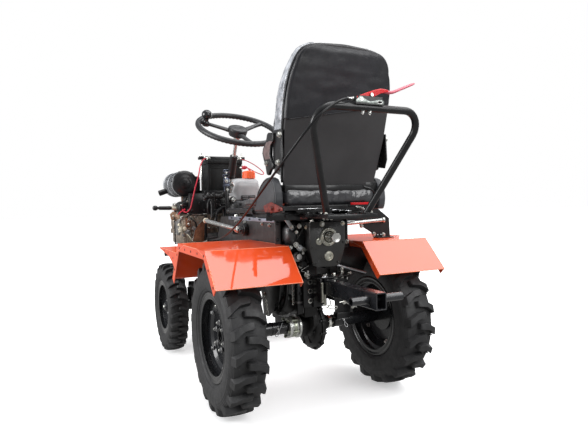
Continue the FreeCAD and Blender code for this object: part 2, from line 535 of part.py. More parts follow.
# pressed lever: a short channel that runs out into a flat handle
lev = poly([(-457, 61, 1095), (-457, 14, 1114), (-457, -31, 1127.5), (-457, -61, 1126.5), (-457, -111, 1140), (-457, -172, 1159), (-457, -172, 1149), (-457, -123, 1132.5),
            (-457, -83, 1119.5), (-457, -51, 1114.5), (-457, -12, 1097.5), (-457, 24, 1086), (-457, 46, 1087)], (22, 0, 0))
put('hand_lever', lev.cut(hb))
put('grab_bar', gbs.fuse(hb).cut(box(-400, -250, -200, 200, 700, SEAT_Z + 0.2)))

# ------------------------------------------------------------------ engine, muffler, battery, tank
eb = box(905, 1165, -95, 292, 600.5, 716, 14).multiFuse([box(905, 1165, -95, 144.5, 500.2, 640, 6), box(905, 1165, 152, 292, 548, 660, 8), box(960, 1175, -120, 110, 640, 822, 12), cyl(104, (1040, -95, 716), (1040, -134, 716))])
put('engine_block', eb)
put('fan_cover', cyl(110, (1040, -134.2, 716), (1040, -172, 716)))
mu = cyl(72, (1000, 235, 884), (1235, 235, 884)).fuse(cyl(16, (1200, 280, 855), (1200, 336, 836))).fuse(cyl(20, (1120, 206, 720), (1120, 212, 822)).cut(box(1060, 1180, 150, 270, 700, 716.4)))
put('muffler', mu)
put('starter_motor', cyl(34, (960, 250, 752), (1075, 250, 752)))
put('throttle_lever', cyl(8, (1010, 292.5, 747), (1010, 392, 752)).fuse(Part.makeSphere(12, V(1010, 400, 752))).fuse(box(1000, 1020, 287, 297, 700, 752)).cut(eb))
bat = box(948, 1084, -84, 120, 830.2, 1018, 4)
bat = bat.fuse(cyl(9, (986, 104, 1016), (986, 104, 1034))).fuse(cyl(9, (986, -68, 1016), (986, -68, 1034)))
put('battery', bat)
bc = box(1006, 1026, -104, 142, 1018.2, 1026).fuse(cyl(3.5, (1016, -98, 830), (1016, -98, 1030))).fuse(cyl(3.5, (1016, 136, 830), (1016, 136, 1030)))
put('battery_frame', box(898, 904.8, 96, 236, 640, 716).fuse(box(898, 942, 150, 236, 716, 829)).fuse(box(942, 1100, 130, 150.5, 824, 830)).fuse(box(938, 1100, -106, 146, 824, 830)).fuse(box(938, 944, -96, 138, 740, 825)).cut(eb).fuse(bc))
ft = box(812, 930, -142, 16, 786, 908, 24).fuse(cyl(30, (866, -90, 900), (866, -90, 944)))
put('fuel_tank', ft)

# ------------------------------------------------------------------ cables, held at both ends
def radii_of(pts, k=0.45):
    out = []
    for a, b, c in zip(pts[:-2], pts[1:-1], pts[2:]):
        a, b, c = V(*a), V(*b), V(*c)
        t = (b - a).getAngle(c - b)
        out.append(round(k * min((b - a).Length, (c - b).Length) / math.tan(t / 2)))
    return out


CLUTCH = [(-446, 66.2, 1091), (-447, 84, 1090.5), (-466, 114, 1083), (-479, 152, 1067), (-482, 205, 1031), (-456, 249, 972), (-396, 279, 907), (-305, 289, 850),
          (-207, 287, 804), (-107, 279, 763), (-6, 269, 726), (96, 256, 694), (199, 243, 666), (304, 229, 642), (409, 216, 622),
          (515, 205, 606), (622, 198, 594), (699, 195, 587)]
LEAD_L = [(986, 113, 1026), (972, 138, 1016), (940, 164, 980), (904, 184, 926), (886, 208, 866), (882, 226, 798), (882, 240, 744), (898, 256, 725), (930, 264, 730), (957.5, 264, 742)]
LEAD_R = [(986, -77, 1026), (980, -122, 1016), (958, -164, 990), (934, -194, 960), (912, -204, 938), (898, -184, 930), (908, -150, 944), (932, -116, 968), (950, -84.5, 982)]
put('clutch_cable', tube(CLUTCH, 4.0))
OUT['battery_lead'] = Part.makeCompound([tube(LEAD_L, 3.5).cut(cyl(9.1, (986, 104, 1000), (986, 104, 1050))), tube(LEAD_R, 2.5).cut(cyl(9.1, (986, -68, 1000), (986, -68, 1050)))])
for nm, pts, dia in (('clutch_cable', CLUTCH, 8), ('battery lead left', LEAD_L, 7), ('battery lead right', LEAD_R, 5)):
    print(nm, 'diameter', dia, 'length', round(path_wire(pts).Length), 'radii', radii_of(pts))

# ------------------------------------------------------------------ write
for name, s in OUT.items():
    s = s.copy()
    s.translate(V(-XC, 0, 0))
    OUT[name] = s
os.makedirs("parts", exist_ok=True)
bb = None
vol = 0
for name, s in OUT.items():
    if not s.isValid() or s.Volume <= 0:
        print("PROBLEM", name, s.isValid(), s.Volume)
    s.exportStep("parts/%s.step" % name)
    b = s.BoundBox
    vol += s.Volume
    if bb is None:
        bb = FreeCAD.BoundBox(b)
    else:
        bb.add(b)
print(len(OUT), "nodes", "box", [round(v, 2) for v in (bb.XMin, bb.XMax, bb.YMin, bb.YMax, bb.ZMin, bb.ZMax)], "solid m3", round(vol / 1e9, 4))
for name, s in OUT.items():
    if len(s.Solids) != 1:
        print(name, "solids", len(s.Solids))
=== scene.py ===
import bpy, bmesh, math, json
import numpy as np
from mathutils import Vector, Matrix


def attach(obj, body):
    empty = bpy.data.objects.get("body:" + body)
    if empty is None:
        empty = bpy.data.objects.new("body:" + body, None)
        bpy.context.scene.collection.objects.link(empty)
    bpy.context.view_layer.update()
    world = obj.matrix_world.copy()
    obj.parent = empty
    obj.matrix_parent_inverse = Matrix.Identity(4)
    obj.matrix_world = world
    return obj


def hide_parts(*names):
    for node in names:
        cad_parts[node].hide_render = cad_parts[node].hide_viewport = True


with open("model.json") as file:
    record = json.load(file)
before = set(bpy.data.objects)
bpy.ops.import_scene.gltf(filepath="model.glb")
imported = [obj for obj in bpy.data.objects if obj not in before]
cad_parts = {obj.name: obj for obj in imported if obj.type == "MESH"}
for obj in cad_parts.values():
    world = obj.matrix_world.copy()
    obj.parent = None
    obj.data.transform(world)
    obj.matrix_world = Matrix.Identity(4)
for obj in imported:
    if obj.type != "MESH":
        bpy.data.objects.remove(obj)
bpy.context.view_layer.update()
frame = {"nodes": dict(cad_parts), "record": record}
scene = bpy.context.scene
NODES = frame["nodes"]
XC = 380.0
rng = np.random.default_rng(7)


def W(p):
    """drawing millimetres (X from the rear axle) to metres in the row frame"""
    return Vector(((p[0] - XC) / 1000.0, p[1] / 1000.0, p[2] / 1000.0))


# ------------------------------------------------------------------ camera
def make_camera():
    cam = bpy.data.cameras.new("cam")
    ob = bpy.data.objects.new("cam", cam)
    scene.collection.objects.link(ob)
    cam.sensor_width = 36.0
    cam.lens = 507.365 / 588.0 * 36.0
    cam.clip_start, cam.clip_end = 0.05, 100
    y, p, r = math.radians(-26.197), math.radians(-2.178), math.radians(-1.028)
    fw = Vector((math.cos(p) * math.cos(y), math.cos(p) * math.sin(y), math.sin(p)))
    rt = Vector((math.sin(y), -math.cos(y), 0))
    up = rt.cross(fw)
    rt2 = rt * math.cos(r) + up * math.sin(r)
    up2 = up * math.cos(r) - rt * math.sin(r)
    m = Matrix((rt2, up2, -fw)).transposed().to_4x4()
    m.translation = Vector((-2.169, 0.940, 0.776))
    ob.matrix_world = m
    scene.camera = ob


make_camera()


# ------------------------------------------------------------------ materials
def nd(nt, kind, x=0, y=0, **kw):
    n = nt.nodes.new(kind)
    n.location = (x, y)
    for k, v in kw.items():
        if k == "in_":
            for a, b in v.items():
                n.inputs[a].default_value = b
        else:
            setattr(n, k, v)
    return n


def mat(name, col, rough=0.5, metal=0.0, coat=0.0, coat_r=0.1, spec=0.5, vary=0.15, scale=30.0, rvary=0.1, bump=0.0, bscale=400.0,
        bump2=0.0, bscale2=60.0, dust=0.0, dust_col=(0.25, 0.24, 0.22), trans=0.0, sheen=0.0, edge=0.0, ior=1.5, col2=None, coat_ior=1.5, tint=None):
    m = bpy.data.materials.new(name)
    m.use_nodes = True
    nt = m.node_tree
    for n in list(nt.nodes):
        nt.nodes.remove(n)
    out = nd(nt, "ShaderNodeOutputMaterial", 900, 0)
    b = nd(nt, "ShaderNodeBsdfPrincipled", 600, 0)
    nt.links.new(b.outputs[0], out.inputs[0])
    b.inputs["Metallic"].default_value = metal
    b.inputs["IOR"].default_value = ior
    b.inputs["Specular IOR Level"].default_value = spec
    b.inputs["Coat Weight"].default_value = coat
    b.inputs["Coat Roughness"].default_value = coat_r
    b.inputs["Sheen Weight"].default_value = sheen
    b.inputs["Coat IOR"].default_value = coat_ior
    b.inputs["Transmission Weight"].default_value = trans
    tc = nd(nt, "ShaderNodeTexCoord", -900, 0)
    n1 = nd(nt, "ShaderNodeTexNoise", -700, 100, in_={"Scale": scale, "Detail": 6.0, "Roughness": 0.6})
    nt.links.new(tc.outputs["Object"], n1.inputs["Vector"])
    r1 = nd(nt, "ShaderNodeValToRGB", -450, 100)
    c2 = col2 or tuple(min(1, c * (1 + vary)) for c in col)
    r1.color_ramp.elements[0].position, r1.color_ramp.elements[1].position = 0.35, 0.68
    r1.color_ramp.elements[0].color = (*[c * (1 - vary) for c in col], 1)
    r1.color_ramp.elements[1].color = (*c2, 1)
    nt.links.new(n1.outputs["Fac"], r1.inputs[0])
    colour = r1.outputs[0]
    if dust > 0:
        n3 = nd(nt, "ShaderNodeTexNoise", -700, -500, in_={"Scale": 14.0, "Detail": 8.0, "Roughness": 0.7})
        nt.links.new(tc.outputs["Object"], n3.inputs["Vector"])
        r3 = nd(nt, "ShaderNodeMapRange", -450, -500, in_={"From Min": 0.45, "From Max": 0.8, "To Min": 0.0, "To Max": dust})
        nt.links.new(n3.outputs["Fac"], r3.inputs["Value"])
        mx = nd(nt, "ShaderNodeMix", -150, 50, data_type="RGBA")
        nt.links.new(r3.outputs[0], mx.inputs["Factor"])
        nt.links.new(colour, mx.inputs[6])
        mx.inputs[7].default_value = (*dust_col, 1)
        colour = mx.outputs[2]
    nt.links.new(colour, b.inputs["Base Color"])
    r2 = nd(nt, "ShaderNodeMapRange", -450, -150, in_={"From Min": 0.3, "From Max": 0.7, "To Min": max(0.02, rough - rvary), "To Max": min(1, rough + rvary)})
    n2 = nd(nt, "ShaderNodeTexNoise", -700, -150, in_={"Scale": scale * 2.3, "Detail": 5.0, "Roughness": 0.65})
    nt.links.new(tc.outputs["Object"], n2.inputs["Vector"])
    nt.links.new(n2.outputs["Fac"], r2.inputs["Value"])
    nt.links.new(r2.outputs[0], b.inputs["Roughness"])
    last = None
    for k, (amt, sc, dist) in enumerate(((bump, bscale, 0.0006), (bump2, bscale2, 0.002))):
        if amt > 0:
            nb = nd(nt, "ShaderNodeTexNoise", -200, -300 - 200 * k, in_={"Scale": sc, "Detail": 4.0, "Roughness": 0.55})
            nt.links.new(tc.outputs["Object"], nb.inputs["Vector"])
            bp = nd(nt, "ShaderNodeBump", 100, -300 - 200 * k, in_={"Strength": amt, "Distance": dist})
            nt.links.new(nb.outputs["Fac"], bp.inputs["Height"])
            if last:
                nt.links.new(last, bp.inputs["Normal"])
            last = bp.outputs[0]
    if edge > 0:
        bv = nd(nt, "ShaderNodeBevel", -200, -800, samples=4, in_={"Radius": edge})
        if last:
            # the bevelled normal goes under the bump
            first = [n for n in nt.nodes if n.type == "BUMP" and not n.inputs["Normal"].is_linked]
            nt.links.new(bv.outputs[0], first[0].inputs["Normal"])
        else:
            last = bv.outputs[0]
    if last:
        nt.links.new(last, b.inputs["Normal"])
        if coat > 0:
            nt.links.new(last, b.inputs["Coat Normal"])
    return m


M = {}
M["orange"] = mat("orange_enamel", (0.88, 0.088, 0.016), 0.42, coat=0.57, coat_r=0.045, coat_ior=2.3, spec=0.1, vary=0.03, scale=6, rvary=0.05, bump=0.04, bscale=60, bump2=0.03, bscale2=9, edge=0.0016)
M["black"] = mat("black_enamel", (0.009, 0.009, 0.010), 0.36, coat=0.25, coat_r=0.16, spec=0.32, vary=0.3, scale=22, rvary=0.12, bump=0.12, bscale=500, dust=0.035, dust_col=(0.16, 0.155, 0.15), edge=0.0012)
M["blackflat"] = mat("black_powdercoat", (0.011, 0.011, 0.012), 0.5, spec=0.3, vary=0.25, scale=30, rvary=0.12, bump=0.25, bscale=900, dust=0.04, dust_col=(0.16, 0.155, 0.15), edge=0.0012)
M["rim"] = mat("rim_enamel", (0.014, 0.0148, 0.0168), 0.24, coat=0.5, coat_r=0.10, spec=0.4, vary=0.25, scale=18, rvary=0.08, bump=0.08, bscale=300, edge=0.001)
M["tyre"] = mat("tyre_rubber", (0.0245, 0.0245, 0.0255), 0.60, spec=0.48, vary=0.25, scale=26, rvary=0.12, bump=0.22, bscale=700, bump2=0.08, bscale2=70, dust=0.10, dust_col=(0.075, 0.074, 0.073))
M["cast"] = mat("black_casting", (0.009, 0.009, 0.009), 0.44, coat=0.3, coat_r=0.22, spec=0.3, vary=0.4, scale=40, rvary=0.15, bump=0.8, bscale=330, dust=0.07, dust_col=(0.16, 0.15, 0.14), edge=0.0015)
M["plate"] = mat("black_satin_plate", (0.020, 0.0198, 0.0185), 0.34, coat=0.3, coat_r=0.2, vary=0.2, scale=22, rvary=0.1, bump=0.2, bscale=420, dust=0.05, edge=0.0012)
M["railgrey"] = mat("worn_rail_enamel", (0.021, 0.0205, 0.0215), 0.42, coat=0.15, coat_r=0.2, vary=0.25, scale=14, rvary=0.12, bump=0.15, bscale=400, dust=0.12, dust_col=(0.13, 0.12, 0.12), edge=0.0012)
M["steel"] = mat("bright_steel", (0.60, 0.60, 0.58), 0.26, metal=1.0, vary=0.12, scale=60, rvary=0.1, bump=0.1, bscale=900, edge=0.0006)
M["zinc"] = mat("zinc_plate", (0.62, 0.62, 0.58), 0.27, metal=1.0, vary=0.2, scale=90, rvary=0.12, bump=0.15, bscale=900)
M["olive"] = mat("passivated_steel", (0.47, 0.465, 0.40), 0.36, metal=1.0, vary=0.3, scale=70, rvary=0.14, bump=0.25, bscale=500)
M["chrome"] = mat("chrome_plate", (0.78, 0.79, 0.81), 0.09, metal=1.0, vary=0.05, scale=40, rvary=0.04, edge=0.0006)
M["bluesteel"] = mat("blued_channel", (0.13, 0.15, 0.20), 0.34, metal=0.8, vary=0.25, scale=18, rvary=0.12, bump=0.2, bscale=300, edge=0.0008)
M["alloy"] = mat("rough_alloy", (0.40, 0.335, 0.27), 0.46, metal=0.85, vary=0.45, scale=55, rvary=0.15, bump=0.9, bscale=280, dust=0.35, dust_col=(0.10, 0.05, 0.03), edge=0.0012)
M["alloygrey"] = mat("cast_alloy", (0.36, 0.35, 0.34), 0.42, metal=0.9, vary=0.35, scale=45, rvary=0.15, bump=0.9, bscale=300, dust=0.25, dust_col=(0.05, 0.045, 0.04), edge=0.0012)
M["copper"] = mat("brown_casting", (0.28, 0.115, 0.06), 0.46, metal=0.5, vary=0.4, scale=50, rvary=0.15, bump=0.8, bscale=300, edge=0.001)
M["cream"] = mat("cream_fitting", (0.74, 0.68, 0.54), 0.35, metal=0.3, vary=0.15, scale=60, bump=0.1)
M["red"] = mat("red_enamel", (0.66, 0.008, 0.014), 0.38, coat=0.15, coat_r=0.12, spec=0.2, vary=0.08, scale=30, rvary=0.06, bump=0.05)
M["redpale"] = mat("red_sleeve", (0.86, 0.20, 0.26), 0.42, vary=0.12, scale=50, bump=0.2)
M["redbrown"] = mat("red_primer", (0.20, 0.022, 0.013), 0.45, coat=0.2, coat_r=0.2, vary=0.5, scale=60, rvary=0.15, dust=0.1, dust_col=(0.05, 0.03, 0.03), edge=0.001)
M["redrub"] = mat("red_lead", (0.55, 0.018, 0.045), 0.38, vary=0.1, scale=60, bump=0.1, bscale=600)
M["dkred"] = mat("dark_red_lead", (0.24, 0.010, 0.016), 0.38, vary=0.1, scale=60, bump=0.1, bscale=600)
M["cable"] = mat("cable_sheath", (0.008, 0.008, 0.009), 0.36, coat=0.1, coat_r=0.25, spec=0.25, vary=0.2, scale=80)
M["tank"] = mat("tank_plastic", (0.44, 0.44, 0.45), 0.36, vary=0.16, scale=16, rvary=0.1, bump=0.15, bscale=300, coat=0.25, coat_r=0.2)
# also paints the shade of the slots in the tank's rear recess
M["tankdark"] = mat("tank_base_and_slot_shade_plastic", (0.10, 0.10, 0.105), 0.42, vary=0.2, scale=30, bump=0.2)
M["cap"] = mat("cap_plastic", (0.90, 0.115, 0.018), 0.42, vary=0.06, scale=50, bump=0.1)
M["dplastic"] = mat("dark_plastic", (0.010, 0.0105, 0.0105), 0.46, spec=0.25, vary=0.2, scale=40, rvary=0.1, bump=0.3, bscale=700, edge=0.0008)
M["grip"] = mat("soft_grip", (0.021, 0.0215, 0.0235), 0.42, vary=0.2, scale=40, rvary=0.1, bump=0.4, bscale=900, coat=0.12, coat_r=0.3)
M["board"] = mat("seat_board", (0.051, 0.0485, 0.0505), 0.45, spec=0.42, vary=0.10, scale=8, rvary=0.06, bump=0.35, bscale=800)
M["vinyl"] = mat("soft_vinyl", (0.018, 0.018, 0.021), 0.42, vary=0.35, scale=7, rvary=0.12, bump=0.5, bscale=500, bump2=0.25, bscale2=45)
M["bolster"] = mat("grained_shell", (0.047, 0.049, 0.0545), 0.50, vary=0.10, scale=30, rvary=0.1, bump=0.5, bscale=1200)
M["panel"] = mat("side_panel", (0.010, 0.010, 0.011), 0.36, coat=0.2, coat_r=0.2, spec=0.35, vary=0.3, scale=30, edge=0.001)
M["grille"] = mat("grille_mesh", (0.012, 0.012, 0.013), 0.4, vary=0.2, scale=60, bump=0.2)

SLOT_OF = {}
for m in frame["record"].get("materials", []):
    for n in m.get("nodes", []) or []:
        SLOT_OF[n] = m.get("slot")


def paint(node, m):
    o = NODES[node]
    if not o.material_slots:
        o.data.materials.append(M[m])
    for s in o.material_slots:
        s.material = M[m]


for names, m in (
    ("rear_rim_left rear_rim_right front_rim_left front_rim_right rear_hub_left rear_hub_right", "rim"),
    ("final_drive_case input_pulley steering_gearbox", "cast"),
    ("frame_rail_left frame_rail_right", "railgrey"), ("transmission_box", "plate"),
    ("drawbar_bracket drawbar drawbar_cross_tube crossmembers engine_deck front_bumper "
     "front_axle_bracket front_axle_beam knuckle_left knuckle_right tie_rod pitman_arm drag_link fender_brackets seat_gusset seat_base_plate "
     "battery_frame backrest_brackets foot_pegs steering_column fan_cover starter_motor", "black"),
    ("grab_bar throttle_lever", "black"),
    ("pto_shaft hitch_pin control_shafts steering_shaft", "steel"),
    ("fender_left fender_right foot_steps", "orange"),
    ("seat_frame", "black"), ("seat_cushion backrest_cushion", "vinyl"), ("backrest_panel", "board"), ("hip_bolsters", "bolster"),
    ("engine_block", "alloy"), ("muffler", "chrome"), ("battery", "dplastic"), ("fuel_tank", "tank"), ("clutch_cable", "cable"), ("battery_lead", "redrub"),
    ("hand_lever", "red"), ("steering_wheel", "grip"), ("rear_tyre_left rear_tyre_right front_tyre_left front_tyre_right", "tyre"),
):
    for n in names.split():
        paint(n, m)


# ------------------------------------------------------------------ mesh building
def frame_of(ax):
    ax = Vector(ax).normalized()
    t = Vector((0, 0, 1)) if abs(ax.z) < 0.9 else Vector((1, 0, 0))
    u = ax.cross(t).normalized()
    return u, ax.cross(u).normalized(), ax


class G:
    """Several closed solids gathered into one mesh, drawn in millimetres."""

    def __init__(s, name, body, mats, slot=None):
        s.name, s.body, s.mats, s.slot = name, body, mats, slot
        s.v, s.f, s.m, s.sm = [], [], [], []

    def add(s, vs, fs, k=0, smooth=True):
        o = len(s.v)
        s.v += [tuple(v) for v in vs]
        s.f += [tuple(o + i for i in f) for f in fs]
        s.m += [k] * len(fs)
        s.sm += [smooth] * len(fs)
        return s

    def loft(s, rings, k=0, caps=True, closed=False):
        n = len(rings[0])
        vs = [p for r in rings for p in r]
        fs = []
        for i in range(len(rings) - (0 if closed else 1)):
            a, b = i * n, ((i + 1) % len(rings)) * n
            fs += [(a + j, a + (j + 1) % n, b + (j + 1) % n, b + j) for j in range(n)]
        if caps and not closed:
            fs += [tuple(range(n - 1, -1, -1)), tuple((len(rings) - 1) * n + j for j in range(n))]
        return s.add(vs, fs, k)

    def lathe(s, prof, c, ax, n=40, k=0, closed=False):
        """prof: (distance along ax, radius) pairs, ends on the axis or closed"""
        u, w, a = frame_of(ax)
        c = Vector(c)
        rings = []
        for t, r in prof:
            r = max(r, 0.01)
            rings.append([c + a * t + (u * math.cos(2 * math.pi * j / n) + w * math.sin(2 * math.pi * j / n)) * r for j in range(n)])
        return s.loft(rings, k, caps=not closed, closed=closed)

    def cyl(s, p0, p1, r, n=24, k=0, ch=0.6, r1=None):
        p0, p1 = Vector(p0), Vector(p1)
        l = (p1 - p0).length
        r1 = r if r1 is None else r1
        ch = min(ch, r * 0.4, l * 0.3)
        return s.lathe([(0, r - ch), (ch, r), (l - ch, r1), (l, r1 - ch)], p0, p1 - p0, n, k)

    def ring(s, p0, p1, r, ri, n=32, k=0, ch=0.5):
        l = (Vector(p1) - Vector(p0)).length
        return s.lathe([(0, ri + ch), (0, r - ch), (ch, r), (l - ch, r), (l, r - ch), (l, ri + ch), (l - ch, ri), (ch, ri)], p0, Vector(p1) - Vector(p0), n, k, closed=True)

    def hexb(s, p, ax, af=13, h=8, k=0, washer=True, turn=0.0, shank=0, kw=None):
        u, w, a = frame_of(ax)
        p = Vector(p)
        r = af / 2 / math.cos(math.pi / 6)
        t0 = 0
        if washer:
            s.cyl(p - a * 0.3, p + a * 1.8, af * 0.78, 20, k if kw is None else kw, 0.3)
            t0 = 1.6
        def hexring(t, rr):
            return [p + a * t + (u * math.cos(turn + math.pi / 3 * j) + w * math.sin(turn + math.pi / 3 * j)) * rr for j in range(6)]
        s.loft([hexring(t0, r * 0.97), hexring(t0 + 0.5, r), hexring(t0 + h * 0.82, r), hexring(t0 + h, r * 0.84)], k)
        if shank:
            s.cyl(p + a * (t0 + h - 0.5), p + a * (t0 + h + shank), af * 0.3, 12, k, 0.8)
        return s

    def box(s, x0, x1, y0, y1, z0, z1, k=0, ch=1.0, m=None):
        """chamfered box; m turns it (4x4)"""
        ch = min(ch, (x1 - x0) * 0.3, (y1 - y0) * 0.3, (z1 - z0) * 0.3)
        bm = bmesh.new()
        bmesh.ops.create_cube(bm, size=1.0)
        for v in bm.verts:
            v.co = Vector(((x0 + x1) / 2 + v.co.x * (x1 - x0), (y0 + y1) / 2 + v.co.y * (y1 - y0), (z0 + z1) / 2 + v.co.z * (z1 - z0)))
        bmesh.ops.bevel(bm, geom=bm.edges[:], offset=ch, segments=2, profile=0.5, affect="EDGES")
        if m is not None:
            bm.transform(m)
        bm.verts.index_update()
        s.add([v.co.copy() for v in bm.verts], [[v.index for v in f.verts] for f in bm.faces], k)
        bm.free()
        return s

    def prism(s, pts, vec, k=0, ch=0.0, m=None):
        """closed outline pushed along vec, with chamfered edges"""
        bm = bmesh.new()
        a = [bm.verts.new(Vector(p)) for p in pts]
        b = [bm.verts.new(Vector(p) + Vector(vec)) for p in pts]
        n = len(pts)
        bm.faces.new(a[::-1])
        bm.faces.new(b)
        for i in range(n):
            bm.faces.new((a[i], a[(i + 1) % n], b[(i + 1) % n], b[i]))
        bmesh.ops.recalc_face_normals(bm, faces=bm.faces[:])
        if ch:
            bmesh.ops.bevel(bm, geom=bm.edges[:], offset=ch, segments=2, profile=0.5, affect="EDGES", clamp_overlap=True)
        if m is not None:
            bm.transform(m)
        bm.verts.index_update()
        s.add([v.co.copy() for v in bm.verts], [[v.index for v in f.verts] for f in bm.faces], k)
        bm.free()
        return s

    def tube(s, pts, r, n=12, k=0, closed=False, flat=None, round_=3):
        """tube along points; flat=(a, b, up) makes a flat bar of half sizes a x b"""
        P = [Vector(p) for p in pts]
        for _ in range(round_):
            Q = []
            m_ = len(P)
            rngs = range(m_) if closed else range(m_ - 1)
            if not closed:
                Q.append(P[0])
            for i in rngs:
                a, b = P[i], P[(i + 1) % m_]
                Q += [a * 0.75 + b * 0.25, a * 0.25 + b * 0.75]
            if not closed:
                Q.append(P[-1])
            P = Q
        N = len(P)
        T = []
        for i in range(N):
            if closed:
                T.append((P[(i + 1) % N] - P[i - 1]).normalized())
            else:
                T.append((P[min(i + 1, N - 1)] - P[max(i - 1, 0)]).normalized())
        if flat:
            up = Vector(flat[2]).normalized()
        u = T[0].orthogonal().normalized()
        rings = []
        for i in range(N):
            if flat:
                u = up.cross(T[i]).normalized()
                w = T[i].cross(u).normalized()
                c = min(flat[0], flat[1]) * 0.5
                q = [(-flat[0], -flat[1] + c), (-flat[0] + c, -flat[1]), (flat[0] - c, -flat[1]), (flat[0], -flat[1] + c), (flat[0], flat[1] - c), (flat[0] - c, flat[1]), (-flat[0] + c, flat[1]), (-flat[0], flat[1] - c)]
                rings.append([P[i] + u * a + w * b for a, b in q])
            else:
                u = (u - T[i] * u.dot(T[i])).normalized()
                w = T[i].cross(u)
                rr = r(i / (N - 1)) if callable(r) else r
                rings.append([P[i] + (u * math.cos(2 * math.pi * j / n) + w * math.sin(2 * math.pi * j / n)) * rr for j in range(n)])
        return s.loft(rings, k, closed=closed)

    def make(s, bevel=None, seg=2, sharp=35, sub=0):
        me = bpy.data.meshes.new(s.name)
        me.from_pydata([W(v) for v in s.v], [], s.f)
        for m in s.mats:
            me.materials.append(M[m] if isinstance(m, str) else m)
        me.polygons.foreach_set("material_index", s.m)
        me.polygons.foreach_set("use_smooth", s.sm)
        bm = bmesh.new()
        bm.from_mesh(me)
        bmesh.ops.recalc_face_normals(bm, faces=bm.faces[:])
        bm.to_mesh(me)
        bm.free()
        me.set_sharp_from_angle(angle=math.radians(sharp))
        ob = bpy.data.objects.new(s.name, me)
        scene.collection.objects.link(ob)
        if bevel:
            b = ob.modifiers.new("b", "BEVEL")
            b.width, b.segments, b.limit_method, b.angle_limit = bevel / 1000.0, seg, "ANGLE", math.radians(32)
            b.harden_normals = False
        if sub:
            b = ob.modifiers.new("s", "SUBSURF")
            b.levels = b.render_levels = sub
        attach(ob, s.body)
        return ob


